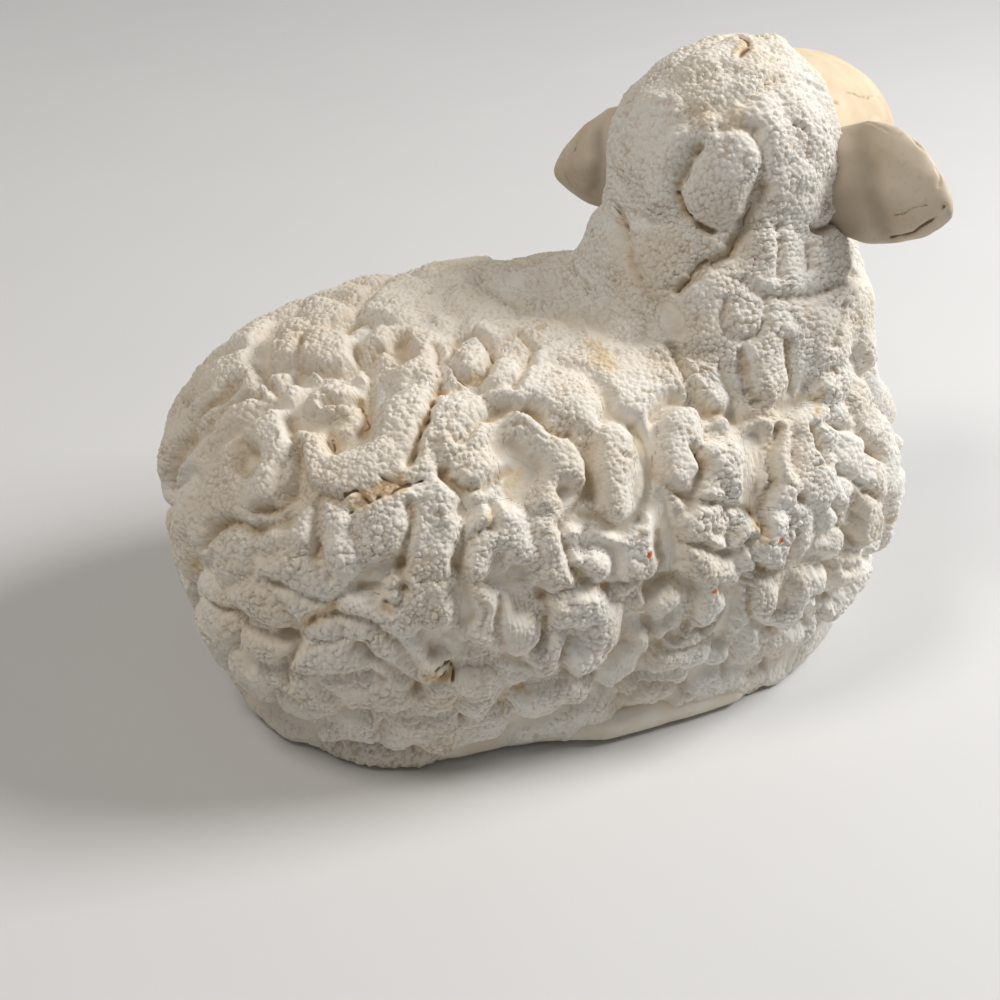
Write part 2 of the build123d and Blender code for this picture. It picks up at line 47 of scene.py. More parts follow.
# Camera: where it stands, what it looks at and how it leans, in millimetres and degrees
FIELD_OF_VIEW = 34.0
CAMERA_AZIMUTH = -22.0
CAMERA_ELEVATION = 34.0
CAMERA_DISTANCE = 356.0
CAMERA_ROLL = 3.0
CAMERA_AIM = (-10.5, -5.0, 37.5)
PHOTO_SIDE = 1000

# Head frame, as in the part's source
HEAD_MIDDLE = np.array([40.3, 5.0, 106.5])
HEAD_YAW = 30.0
HEAD_PITCH = -5.0
HEAD_ROLL = -12.0
NOSE_REACH = 60.0
MOUTH_ANGLE = 28.0
NOSTRIL_ANGLE = 48.0
CHIN_DROP = 4.5

# Skin of the clay forms, in millimetres
SKIN_VOXEL = 1.15
SKIN_SMOOTHING = 30
NORMAL_SMOOTHING = 14

# Fleece, in millimetres, with shares and rounds of smoothing
CURL_REACH = 6.2
CURL_LOWEST = 8.5
CURL_HEIGHT = 4.5
CURL_SLACK = 0.6
CURL_WIDENING = 1.6
WIDENING_SIZE = 5.0
WIDENING_SWING = 0.5
CURL_SHOULDER = 3.2
HOLLOW_LEVEL = 0.9
UPPER_GROUND = 3.0
UPPER_TOP = 4.6
MOUND_HEIGHT = 2.7
MOUND_GAP = (1.3, 3.4)
NECK_RISE = (70.0, 82.0)
FOOT_SWELL = 1.6
SKIRT_DROP = 3.8
LUMP_SIZE = 6.5
LUMP_DEPTH = 0.4
PATCH_SIZE = 10.0
PATCH_DEPTH = 0.9
RIM_LIP = 0.3
RIM_LIP_REACH = 1.2
OPENING_CUT = 0.8
UPPER_MOUND_CUT = 0.7
LIVELY_STEP = 0.7
JOINED_SIZE = 7.0
JOINED_MIDDLE = 0.35
JOINED_SWING = 0.8
JOINED_LIMITS = (0.05, 0.9)
HOLLOW_POLISH = 0.7
POLISHED_PATCHES = (-0.30, 0.05)
POLISHED_GAP = (1.6, 3.0)
POLISH_START = (0.0, 0.7)
BASIN_GAIN = 1.6
BASIN_POLISH = 0.7
BASIN_POLISHED = (0.5, 0.95)
BRUSH_POLISH = 0.5
FLOOR_SOFTNESS = 0.35
LOWEST_POINT = 0.8
CRUST_BED = 0.55
CORE_SINK = 0.35
FORM_ROUNDS = 8
RIM_ROUNDS = 2
OPENING_ROUNDS = 6
HEIGHT_ROUNDS = 5
GRAIN_ROUNDS = 2
SLOW_ROUNDS = 90
MID_ROUNDS = 10
FOOT_BAND = (-16.0, -9.0)
SKIRT_BAND = (-14.0, -8.0)
SKIRT_SIZE = 6.0
SKIRT_UNEVENNESS = 0.45
UNDERSIDE_BAND = (-14.0, -10.0)
UNDERSIDE_TILT = (0.75, 0.9)
SEEN_SHARE = 0.7
WARP_SIZE = 6.0
WARP_DEPTH = 1.3
FINE_WARP_SIZE = 2.4
FINE_WARP_DEPTH = 0.55
WANDER_SIZE = 2.4
WANDER_DEPTH = 0.45
FINE_WANDER_SIZE = 0.9
FINE_WANDER_DEPTH = 0.2
GRAIN_SIZE = 1.1
GRAIN_HEIGHT = 0.60
KNOB_SIZE = 1.75
KNOB_HEIGHT = 0.76
DOME_REACH = 0.85
SEAM_WIDTH = 0.22
GRAIN_WARP_SIZE = 1.8
GRAIN_WARP_DEPTH = 0.3
GRAIN_SINK = 0.3
COARSE_SIZE = 8.0
COARSE_BAND = (-0.1, 0.4)
COARSE_CUT = 0.35
SMALL_LUMP_SIZE = 3.0
SMALL_LUMP_HEIGHT = 0.4
SMOOTH_LUMP_HEIGHT = 0.08
WOOL_SIZE = 4.5
WOOL_LEVEL = 0.78
WOOL_SWING = 0.3
EDGE_GAIN = 1.35
EDGE_SCALE = 2.0
EDGE_BAND = (0.35, 0.95)
CRACK_DEPTH = 0.8
CRACK_BREAK_SIZE = 1.6
CRACK_BREAKS = (-0.85, -0.1)
BRUSH_PITCH = 0.95
BRUSH_DEPTH = 0.13
BRUSH_GAIN = 1.5
BRUSH_WANDER = 0.4
# Painted shade in deep places and along the coil edges and grooves
HOLLOW_SHADE_DEPTH = (0.05, 1.1)
GROOVE_SHADE = 0.8
# Painted shade on the rear and on upward-facing wool
REAR_SHADE = 0.6
REAR_SHADE_BAND = (-15.0, 70.0)
TOP_SHADE = 0.5
TOP_SHADE_TILT = (0.45, 0.95)

# Face, in millimetres, degrees and shares of the reach to the nose
FACE_EDGE = (11.0, 14.5)
FACE_EDGE_BEND = 0.25
HEAD_GAP = (1.2, 3.0)
MOUTH_DEPTH = 1.0
MOUTH_WIDTH = 0.7
MOUTH_PLACE = 0.985
MOUTH_BEND = 0.13
NOSTRIL_DEPTH = 1.4
NOSTRIL_PLACE = 0.94
NOSTRIL_RADIUS = 1.3
NOSTRIL_RIM = (0.5, 2.1, 0.8)
LID_RADIUS = 4.0
LID_HEIGHT = 0.9
LID_WIDTH = 0.9
EAR_ROOT = (27.0, 34.0)

# Ears and eyes: size of the remeshing, rounds of smoothing and depth of the wobble
EAR_FINISH = (0.4, 45, 0.3)
EYE_FINISH = (0.3, 6, 0.03)
WOBBLE_SIZE = 9.0
FINE_WOBBLE_SIZE = 3.0
FINE_WOBBLE_SHARE = 0.3
EAR_ROOT_SHADE = 0.6
EAR_WANDER_SIZE = 2.2
EAR_WANDER_DEPTH = 0.35
EAR_CRACK_DEPTH = 0.5
EAR_CRACK_BREAK_SIZE = 1.5
EAR_CRACK_BREAKS = (-0.9, -0.2)

# Slab, in millimetres
SLAB_VOXEL = 0.6
SLAB_ROUNDS = 8
SLAB_SHOWN_LEVEL = 3.5
SLAB_SHOWN_EDGE = (3.5, 7.0)
SLAB_BULGE = 1.3
SLAB_TOP = 7.4
SLAB_GRAIN_BAND = (0.3, 1.2)
SLAB_BULGE_BAND = (0.2, 2.5)
SLAB_FLOOR_SHADE_BAND = (-2.2, -0.3)
SLAB_COARSE = 0.5
SLAB_LUMP_SIZE = 5.0
SLAB_LUMP_HEIGHT = 0.5
SLAB_SINK = 0.2
SLAB_WAVE_SIZE = 8.0
SLAB_WAVE_HEIGHT = 0.25
SLAB_FLAT = 0.95
# Painted shade on the slab: darker towards the floor, and an even share of the warm painted shade
SLAB_FLOOR_SHADE = 0.6
SLAB_SHADE = 0.5
VENT_X = -23.25
VENT_EDGE = (-9.0, -6.0)

# Marks drawn over the photograph: the width of each in millimetres, then its height, its depth or
# its strength, and then the pixels down it
RIDGES = (
    (4.4, 0.9, (703, 197), (722, 183), (739, 155)),
    (2.1, 1.0, (706, 128), (682, 141), (665, 163), (658, 190), (655, 214)), (2.6, 0.9, (742, 316)),
    (1.9, 1.3, (845, 228)), (1.7, 0.8, (822, 212), (830, 208)), (1.3, 0.8, (803, 228)),
    (3.0, 0.8, (838, 188)), (2.3, 0.9, (760, 352), (764, 372), (769, 396)),
    (3.4, 0.9, (622, 112), (650, 108), (678, 110)), (4.2, 1.0, (773, 602)), (3.3, 1.1, (577, 661)),
    (1.6, 0.5, (693, 556)), (3.2, 0.7, (473, 357)), (2.6, 0.6, (766, 250), (764, 225)),
)
GROOVES = (
    (1.0, 2.3, (702, 148), (689, 164), (680, 184), (681, 204), (693, 221), (712, 232)),
    (1.3, 0.9, (712, 112), (680, 124), (655, 149), (645, 184), (648, 220)),
    (1.0, 1.2, (757, 135), (763, 160), (757, 186)), (0.9, 1.1, (722, 131), (740, 127), (755, 133)),
    (1.5, 2.7, (762, 186), (750, 209), (740, 232), (727, 253), (700, 269), (677, 291)),
    (1.1, 1.3, (744, 103), (759, 92), (776, 81)),
    (0.8, 1.3, (727, 300), (721, 315), (727, 332), (742, 341), (757, 335), (765, 318), (764, 301)),
    (1.1, 2.1, (741, 352), (743, 371), (748, 390), (754, 403)),
    (1.3, 2.1, (787, 343), (788, 365), (790, 391)), (0.8, 1.5, (841, 305), (836, 325), (829, 346)),
    (1.2, 2.0, (674, 349), (682, 375), (694, 404), (712, 416), (733, 414)),
    (1.5, 1.5, (736, 421), (770, 415), (800, 400), (822, 375), (850, 355), (879, 346)),
    (0.9, 1.7, (806, 225), (816, 232), (826, 227), (834, 220)),
    (0.9, 1.3, (776, 224), (778, 250), (778, 277)), (0.9, 1.2, (805, 248), (808, 269)),
    (1.1, 1.5, (744, 283), (768, 298), (797, 299), (824, 290), (851, 277), (872, 262)),
    (1.2, 1.5, (612, 176), (621, 205), (624, 236)),
    (1.7, 1.4, (626, 232), (632, 262), (655, 300), (678, 328)),
    (0.9, 1.2, (362, 584), (385, 588), (405, 588)), (0.9, 1.3, (204, 524), (214, 541)),
    (0.5, 1.0, (792, 125), (800, 131)), (0.5, 0.5, (786, 82), (800, 86), (818, 94), (838, 104)),
    (0.9, 1.4, (574, 572), (579, 583), (588, 590)), (0.8, 1.2, (647, 600), (650, 583), (662, 576)),
)
COIL_EDGES = (
    (1.9, 2.4, (237, 384), (204, 410), (186, 438), (173, 463), (172, 489), (178, 507)),
    (1.1, 2.2, (293, 420), (298, 453), (296, 479), (290, 502), (278, 512), (257, 509)),
    (1.1, 1.7, (204, 443), (209, 422), (224, 407), (242, 401), (262, 399)),
    (1.4, 1.9, (242, 443), (255, 458), (252, 473), (239, 466)),
    (1.2, 2.0, (204, 545), (214, 527), (232, 522), (255, 530), (278, 524), (293, 517)),
    (1.1, 1.6, (273, 315), (268, 351), (268, 384), (278, 394)),
    (1.0, 1.6, (303, 341), (301, 361), (296, 384), (283, 392)),
    (1.0, 2.0, (357, 348), (359, 366), (344, 374), (324, 374), (308, 369)),
    (1.0, 1.2, (349, 333), (364, 323), (390, 326)),
    (1.3, 2.0, (370, 361), (380, 351), (398, 348), (408, 359), (400, 366)),
    (1.2, 1.8, (438, 351), (441, 377), (433, 399)),
    (1.0, 2.0, (433, 399), (426, 420), (418, 443), (410, 463)),
    (1.1, 2.2, (372, 371), (371, 394), (367, 412), (362, 433)),
    (1.0, 1.6, (326, 405), (343, 404), (359, 404)),
    (1.1, 1.8, (298, 453), (306, 484), (319, 496), (340, 500)), (1.1, 1.9, (331, 438), (334, 453)),
    (1.1, 1.5, (319, 504), (316, 530), (319, 555), (329, 578)),
    (1.1, 1.7, (410, 504), (413, 524), (405, 545), (403, 570), (405, 588)),
    (1.2, 2.0, (444, 473), (464, 494), (469, 517), (461, 542), (456, 568)),
    (1.2, 1.7, (204, 593), (225, 612), (250, 627), (283, 632)),
    (1.1, 1.4, (268, 578), (293, 591), (316, 604)), (1.1, 1.5, (242, 639), (250, 652), (255, 665)),
    (1.1, 1.7, (288, 632), (301, 642), (283, 667), (288, 683)),
    (1.4, 1.8, (357, 647), (382, 662), (408, 678), (418, 688)),
    (1.1, 1.4, (316, 619), (344, 614), (370, 621), (395, 642), (418, 672)),
    (1.1, 1.7, (459, 443), (479, 420), (507, 407), (538, 412)),
    (1.2, 2.0, (446, 479), (464, 491), (482, 489), (497, 476), (510, 468)),
    (1.2, 1.8, (492, 509), (497, 524), (482, 532), (469, 545), (461, 570), (459, 588)),
    (1.0, 1.3, (459, 598), (479, 601), (487, 614), (482, 629)),
    (0.9, 1.7, (451, 359), (457, 344), (472, 337), (487, 344), (493, 359), (487, 374), (472, 380),
     (457, 374), (451, 359)), (1.0, 1.4, (495, 346), (518, 338), (533, 351), (523, 371), (515, 389)),
    (1.0, 1.1, (441, 392), (467, 387), (492, 389), (512, 384)),
    (1.3, 2.2, (527, 409), (548, 428), (570, 436), (588, 458), (594, 482), (578, 506), (559, 525)),
    (1.2, 1.8, (594, 447), (591, 471), (594, 495), (599, 514)),
    (1.2, 2.0, (634, 428), (645, 455), (650, 476), (647, 500), (637, 517)),
    (1.1, 1.8, (637, 442), (650, 466), (663, 482), (682, 495)),
    (1.1, 1.7, (693, 447), (704, 468), (698, 487), (688, 500)),
    (1.1, 1.4, (650, 417), (671, 404), (693, 407)),
    (1.1, 1.8, (564, 530), (578, 514), (599, 519), (618, 530), (639, 522)),
    (1.1, 1.8, (564, 541), (570, 565), (588, 584), (607, 586)),
    (1.1, 1.8, (661, 535), (663, 562), (650, 578), (621, 584)),
    (1.0, 1.5, (679, 514), (698, 501), (722, 506), (749, 511)),
    (1.1, 1.8, (677, 530), (685, 546), (704, 546), (722, 554), (741, 551), (754, 538)),
    (1.0, 1.2, (714, 530), (728, 541)),
    (1.1, 1.8, (647, 621), (646, 602), (655, 581), (671, 577), (688, 584)),
    (1.1, 1.5, (693, 589), (696, 608), (685, 624)),
    (1.2, 1.8, (722, 584), (730, 600), (722, 621), (704, 634)),
    (1.0, 1.4, (661, 634), (688, 637), (704, 634)),
    (1.2, 2.4, (779, 428), (771, 455), (773, 484), (763, 506), (765, 530)),
    (1.0, 1.5, (795, 530), (789, 554), (781, 568)), (1.0, 1.3, (752, 546), (757, 568), (779, 568)),
    (1.0, 1.8, (750, 590), (748, 608), (756, 624), (772, 630), (790, 624)),
    (1.0, 1.7, (803, 605), (805, 624)),
    (0.9, 1.7, (565, 640), (560, 655), (566, 672), (580, 680), (592, 674)),
    (1.1, 1.8, (594, 683), (615, 683), (634, 669), (650, 648), (650, 629)),
    (1.0, 1.6, (621, 696), (642, 683), (666, 680), (685, 685)),
    (1.0, 1.5, (626, 709), (650, 713), (682, 699)),
    (1.2, 1.6, (653, 640), (666, 651), (688, 648), (714, 637)),
    (1.1, 1.5, (725, 637), (730, 653), (722, 672)), (1.0, 1.3, (757, 634), (763, 659), (752, 675)),
    (1.1, 1.7, (813, 428), (819, 447), (827, 463)), (1.0, 1.1, (824, 423), (856, 434), (870, 455)),
    (1.1, 1.5, (835, 471), (870, 493), (880, 519)), (1.1, 1.5, (832, 503), (838, 525), (856, 541)),
    (1.0, 1.3, (896, 460), (902, 487), (899, 509)), (1.0, 1.3, (870, 551), (886, 568)),
    (1.1, 1.3, (816, 568), (843, 568), (864, 557)), (1.1, 1.3, (811, 594), (832, 602), (856, 594)),
    (1.2, 1.6, (500, 600), (497, 630), (505, 655), (530, 668)),
    (1.1, 1.5, (540, 585), (548, 610), (540, 640)),
)
BRUSHED = (
    (2.6, 1.0, (511, 608), (514, 655)), (3.2, 1.0, (627, 628), (622, 668)),
    (2.2, 0.8, (752, 622), (794, 618)), (1.8, 0.6, (455, 645), (470, 690)),
)
BASINS = (
    (2.5, 0.4, (758, 438), (750, 478), (752, 506)), (2.1, 0.2, (660, 500), (668, 530), (672, 560)),
    (3.0, 0.7, (512, 454), (526, 468), (514, 488)), (1.9, 0.2, (736, 590), (728, 614), (722, 640)),
    (2.1, 0.5, (204, 440), (185, 460), (174, 490)), (2.0, 0.2, (300, 501)), (2.0, 0.5, (246, 456)),
    (2.2, 0.1, (466, 510)), (2.3, 0.6, (518, 576)), (2.0, 0.1, (460, 590), (468, 620)),
    (1.8, 0.3, (434, 646)), (2.2, 0.2, (568, 492), (580, 516)), (1.6, 0.2, (847, 515)),
    (2.2, 0.2, (668, 310), (676, 330)), (3.4, 0.3, (866, 250), (858, 262)),
    (1.8, 0.5, (400, 343), (404, 356)),
)
CRACKS = (
    (0.45, 1.0, (345, 496), (359, 494), (367, 499), (371, 504), (391, 495), (403, 487), (423, 481)),
    (0.4, 0.9, (350, 514), (362, 508), (371, 504)), (0.4, 0.8, (375, 473), (389, 481), (400, 486)),
    (0.45, 0.9, (326, 410), (341, 403), (359, 404), (366, 412), (366, 425), (359, 435)),
    (0.4, 0.8, (433, 402), (426, 420), (418, 443), (413, 458)),
    (0.45, 0.9, (459, 380), (469, 384), (482, 381), (491, 374)), (0.45, 0.8, (331, 440), (335, 455)),
    (0.6, 0.9, (387, 599), (389, 611)), (0.4, 0.7, (312, 618), (328, 609), (338, 604)),
    (0.5, 1.0, (421, 680), (428, 670), (443, 661), (455, 665), (452, 678)),
    (0.6, 0.9, (432, 678), (445, 668)), (0.5, 0.8, (749, 507), (756, 520), (762, 535)),
    (0.45, 0.7, (697, 452), (703, 468)), (0.35, 0.7, (574, 571), (586, 589)),
    (0.6, 0.9, (738, 43), (748, 48), (740, 61)), (0.45, 0.8, (676, 190), (681, 204), (691, 218)),
    (0.35, 0.6, (700, 152), (691, 166), (686, 182)), (0.4, 0.7, (755, 205), (744, 229), (727, 254)),
    (0.4, 0.7, (706, 259), (690, 272), (677, 291)), (0.5, 0.8, (618, 208), (625, 234)),
    (0.6, 0.8, (830, 222), (836, 232)), (0.25, 0.7, (848, 94), (862, 97), (880, 98)),
    (0.35, 0.6, (503, 705), (507, 690), (518, 682), (530, 689), (532, 704)),
    (0.35, 0.7, (500, 729), (530, 728), (572, 729)), (0.3, 0.5, (444, 290), (462, 288), (500, 288)),
    (0.3, 0.5, (756, 455), (757, 470)),
)
STAINS = (
    (1.8, 1.0, (368, 500), (384, 492), (402, 484)), (1.0, 0.8, (352, 506), (366, 504)),
    (1.2, 0.8, (361, 402), (367, 414)), (0.8, 0.7, (430, 400), (424, 425)),
    (1.0, 0.9, (463, 379), (480, 378)), (1.3, 0.9, (333, 447)), (1.4, 0.9, (388, 606)),
    (1.5, 0.8, (308, 620), (336, 607)), (1.0, 0.7, (276, 627)), (1.0, 0.7, (195, 563), (199, 571)),
    (1.8, 1.0, (432, 674), (448, 668)), (0.8, 0.8, (503, 704), (508, 688), (520, 682), (531, 692)),
    (2.2, 0.7, (510, 480), (520, 470)), (1.3, 0.8, (490, 518)), (1.2, 0.7, (429, 401)),
    (1.8, 0.6, (347, 320)), (1.3, 0.8, (298, 304)), (1.6, 0.8, (404, 360)), (0.7, 0.9, (339, 691)),
    (1.2, 0.9, (750, 508), (758, 524), (763, 536)), (1.8, 0.5, (756, 480), (752, 500)),
    (1.6, 0.7, (700, 460)), (1.2, 0.8, (580, 580)), (1.0, 0.6, (815, 430), (822, 455)),
    (1.3, 0.7, (820, 396), (816, 414)), (1.4, 0.6, (901, 412), (898, 430)), (1.6, 0.5, (889, 518)),
    (1.4, 0.5, (886, 568)), (1.3, 0.6, (660, 647)), (1.3, 0.7, (623, 702)),
    (1.5, 0.9, (744, 48), (741, 58)), (3.6, 0.45, (690, 112), (715, 118), (738, 122)),
    (1.1, 0.8, (680, 200), (690, 214)), (1.4, 0.7, (622, 220)), (3.0, 0.75, (592, 350), (606, 366)),
    (1.0, 0.7, (865, 300)), (1.2, 0.4, (740, 240), (727, 254)),
)
EAR_DENTS = (
    (2.6, 0.9, (858, 135), (868, 170), (872, 205), (884, 232)),
    (2.2, 0.8, (596, 135), (598, 160), (594, 190)),
)
EAR_CRACKS = (
    (0.42, 1.0, (950, 192), (944, 206), (930, 222), (912, 233), (890, 240)),
    (0.28, 0.7, (893, 216), (905, 212), (914, 207), (926, 205)),
    (0.28, 0.7, (906, 134), (916, 142), (925, 152)), (0.25, 0.6, (936, 168), (940, 178), (939, 186)),
    (0.22, 0.4, (866, 122), (884, 128), (902, 138)),
    (0.35, 0.8, (586, 118), (584, 130), (577, 140), (574, 152)),
    (0.25, 0.5, (560, 148), (566, 172), (574, 190)),
)
SPECKS = (
    (0.8, 1.0, (648, 552)), (0.8, 1.0, (713, 588)), (0.75, 1.0, (777, 537)),
)
SLAB_SHOWN = (((475, 752), (550, 743)), ((590, 731), (662, 726)), ((685, 709), (725, 700)))


# --- arrays and noise

def to_points(mesh):
    flat = np.empty(len(mesh.vertices) * 3)
    mesh.vertices.foreach_get("co", flat)
    return flat.reshape(-1, 3) / MM


def to_quads(mesh):
    flat = np.empty(len(mesh.loops), dtype=np.int64)
    mesh.loops.foreach_get("vertex_index", flat)
    return flat.reshape(-1, 4)


def to_edges(mesh):
    flat = np.empty(len(mesh.edges) * 2, dtype=np.int64)
    mesh.edges.foreach_get("vertices", flat)
    return flat.reshape(-1, 2)


class Web:
    """Averages over the neighbours of each vertex."""

    def __init__(self, edges, count):
        self.a, self.b = edges[:, 0], edges[:, 1]
        self.count = count
        self.degree = np.maximum(
            np.bincount(self.a, minlength=count) + np.bincount(self.b, minlength=count), 1
        )

    def mean(self, values):
        if values.ndim == 2:
            return np.stack([self.mean(values[:, i]) for i in range(values.shape[1])], axis=1)
        total = np.bincount(self.a, weights=values[self.b], minlength=self.count)
        total += np.bincount(self.b, weights=values[self.a], minlength=self.count)
        return total / self.degree

    def smooth(self, values, rounds):
        for _ in range(rounds):
            values = values + 0.5 * (self.mean(values) - values)
        return values


def hashed(cells, seed):
    x = cells[..., 0] * 73856093
    y = cells[..., 1] * 19349663
    z = cells[..., 2] * 83492791
    h = (x ^ y ^ z ^ (seed * 2654435761)) & 0xFFFFFFFF
    h = ((h ^ (h >> 13)) * 1274126177) & 0xFFFFFFFF
    h = ((h ^ (h >> 16)) * 2246822519) & 0xFFFFFFFF
    return ((h ^ (h >> 15)) & 0xFFFFFF) / float(0x1000000)


def value_noise(points, size, seed):
    """Smooth noise from -1 to 1."""
    scaled = points / size
    base = np.floor(scaled).astype(np.int64)
    part = scaled - base
    part = part * part * (3 - 2 * part)
    total = np.zeros(len(points))
    for dx in (0, 1):
        for dy in (0, 1):
            for dz in (0, 1):
                corner = base + np.array([dx, dy, dz])
                weight = (
                    np.where(dx, part[:, 0], 1 - part[:, 0])
                    * np.where(dy, part[:, 1], 1 - part[:, 1])
                    * np.where(dz, part[:, 2], 1 - part[:, 2])
                )
                total += weight * hashed(corner, seed)
    return 2 * total - 1


def cobbles(points, size, seed):
    """Distances to the nearest and second nearest of scattered points, as shares of their spacing."""
    scaled = points / size
    base = np.floor(scaled).astype(np.int64)
    first = np.full(len(points), 9.0)
    second = np.full(len(points), 9.0)
    for dx in (-1, 0, 1):
        for dy in (-1, 0, 1):
            for dz in (-1, 0, 1):
                cell = base + np.array([dx, dy, dz])
                spot = np.stack([cell[:, i] + hashed(cell, seed + 7 * i) for i in range(3)], axis=1)
                gap = np.sqrt(((spot - scaled) ** 2).sum(axis=1))
                closer = gap < first
                second = np.where(closer, first, np.minimum(second, gap))
                first = np.where(closer, gap, first)
    return first, second


def ramp(values, low, high):
    share = np.clip((values - low) / (high - low), 0, 1)
    return share * share * (3 - 2 * share)


# --- camera

def place_camera():
    turn, rise = math.radians(CAMERA_AZIMUTH), math.radians(CAMERA_ELEVATION)
    back = Vector((
        math.sin(turn) * math.cos(rise), -math.cos(turn) * math.cos(rise), math.sin(rise)
    ))
    right = (-back).cross(Vector((0, 0, 1))).normalized()
    up = right.cross(-back)
    lean = math.radians(CAMERA_ROLL)
    side = right * math.cos(lean) + up * math.sin(lean)
    top = up * math.cos(lean) - right * math.sin(lean)
    data = bpy.data.cameras.new("camera")
    data.sensor_fit = "HORIZONTAL"
    data.angle = math.radians(FIELD_OF_VIEW)
    data.clip_start, data.clip_end = 0.01, 20
    camera = bpy.data.objects.new("camera", data)
    bpy.context.scene.collection.objects.link(camera)
    place = (Vector(CAMERA_AIM) + back * CAMERA_DISTANCE) * MM
    camera.matrix_world = Matrix((
        (side.x, top.x, back.x, place.x),
        (side.y, top.y, back.y, place.y),
        (side.z, top.z, back.z, place.z),
        (0, 0, 0, 1),
    ))
    bpy.context.scene.camera = camera
    return camera


camera = place_camera()


# --- the skin of the clay forms, before any wool

def add_hull(bm, node):
    """Adds the convex hull of a CAD node."""
    fresh = [bm.verts.new(v.co) for v in nodes[node].data.vertices]
    made = bmesh.ops.convex_hull(bm, input=fresh)
    left = made["geom_interior"] + made["geom_unused"]
    spare = {v for v in left if isinstance(v, bmesh.types.BMVert)}
    bmesh.ops.delete(bm, geom=list(spare), context="VERTS")


def new_object(name, mesh):
    obj = bpy.data.objects.new(name, mesh)
    bpy.context.scene.collection.objects.link(obj)
    return obj


def applied(obj):
    """The object's mesh with its modifiers applied. The object itself goes."""
    graph = bpy.context.evaluated_depsgraph_get()
    mesh = bpy.data.meshes.new_from_object(obj.evaluated_get(graph))
    old = obj.data
    bpy.data.objects.remove(obj)
    bpy.data.meshes.remove(old)
    return mesh


def remeshed(mesh, voxel):
    obj = new_object("work", mesh)
    step = obj.modifiers.new("skin", "REMESH")
    step.mode = "VOXEL"
    step.voxel_size = voxel * MM
    return applied(obj)


def relaxed(mesh, rounds):
    points = to_points(mesh)
    web = Web(to_edges(mesh), len(points))
    points = web.smooth(points, rounds)
    mesh.vertices.foreach_set("co", (points * MM).ravel())
    mesh.update()


def subdivided(mesh):
    obj = new_object("work", mesh)
    step = obj.modifiers.new("finer", "SUBSURF")
    step.levels = step.render_levels = 1
    return applied(obj)


def make_skin():
    bm = bmesh.new()
    for node in ("body_shell", "neck_collar"):
        add_hull(bm, node)
    bm.from_mesh(nodes["head"].data)
    mesh = bpy.data.meshes.new("skin")
    bm.to_mesh(mesh)
    bm.free()
    mesh = remeshed(mesh, SKIN_VOXEL)
    relaxed(mesh, SKIN_SMOOTHING)
    return subdivided(mesh)


def head_axes():
    yaw, pitch, roll = (math.radians(a) for a in (HEAD_YAW, HEAD_PITCH, HEAD_ROLL))
    forward = Vector((math.cos(pitch), 0, math.sin(pitch)))
    forward.rotate(Matrix.Rotation(yaw, 3, "Z"))
    left = Vector((-math.sin(yaw), math.cos(yaw), 0))
    up = forward.cross(left)
    up.rotate(Matrix.Rotation(roll, 3, forward))
    left = up.cross(forward)
    return np.array([forward, left, up])


def unit(vectors):
    return vectors / np.linalg.norm(vectors, axis=1)[:, None]


HEAD_AXES = head_axes()
skin_mesh = make_skin()
skin = to_points(skin_mesh)
quads = to_quads(skin_mesh)
web = Web(to_edges(skin_mesh), len(skin))
flat_normals = np.empty(len(skin) * 3)
skin_mesh.vertex_normals.foreach_get("vector", flat_normals)
normals = unit(web.smooth(flat_normals.reshape(-1, 3), NORMAL_SMOOTHING))
in_head = (skin - HEAD_MIDDLE) @ HEAD_AXES.T


class Sheet:
    """The skin with each quad split in four, for the grain that is finer than the skin's own mesh."""

    def __init__(self):
        sides = np.empty(len(skin_mesh.loops), dtype=np.int64)
        skin_mesh.loops.foreach_get("edge_index", sides)
        self.sides = sides.reshape(-1, 4)
        self.middles = self.sides + len(skin)
        centres = np.arange(len(quads)) + len(skin) + len(web.a)
        self.quads = np.stack([
            np.stack([quads[:, i], self.middles[:, i], centres, self.middles[:, i - 1]], axis=1)
            for i in range(4)
        ], axis=1)
        halves = [np.stack([end, np.arange(len(end)) + len(skin)], axis=1) for end in (web.a, web.b)]
        spokes = [np.stack([self.middles[:, i], centres], axis=1) for i in range(4)]
        self.web = Web(np.concatenate(halves + spokes), len(skin) + len(web.a) + len(quads))

    def spread(self, values):
        """Values of the skin's vertices carried to the finer sheet's."""
        return np.concatenate([values, (values[web.a] + values[web.b]) / 2, values[quads].mean(axis=1)])


sheet = Sheet()


# --- which curl covers each place of the skin

def curl_solids():
    """Triangles of every curl, with the node and the solid that each belongs to."""
    points, triangles, owners, solids = [], [], [], []
    names = sorted(n for n in nodes if n.startswith("curls_"))
    for index, name in enumerate(names):
        mesh = nodes[name].data
        start = len(points)
        keys = {}
        merged = []
        for vertex in mesh.vertices:
            key = tuple(round(c / MM, 3) for c in vertex.co)
            merged.append(keys.setdefault(key, len(keys)))
            points.append(vertex.co / MM)
        faces = [tuple(p.vertices) for p in mesh.polygons]
        parent = list(range(len(faces)))

        def find(i):
            while parent[i] != i:
                parent[i] = parent[parent[i]]
                i = parent[i]
            return i

        sharing = {}
        for i, face in enumerate(faces):
            corners = [merged[v] for v in face]
            for a, b in zip(corners, corners[1:] + corners[:1]):
                sharing.setdefault((min(a, b), max(a, b)), []).append(i)
        for group in sharing.values():
            for a, b in zip(group[::2], group[1::2]):
                parent[find(a)] = find(b)
        for i, face in enumerate(faces):
            triangles.append(tuple(start + v for v in face))
            owners.append(index)
            solids.append(start + find(i))
    return names, points, triangles, np.array(owners), np.array(solids)


curl_names, curl_points, curl_triangles, curl_owner, curl_solid = curl_solids()
curl_tree = BVHTree.FromPolygons(curl_points, curl_triangles)


def noise_push(points, size, seed):
    return np.stack([value_noise(points, size, seed + i) for i in range(3)], axis=1)


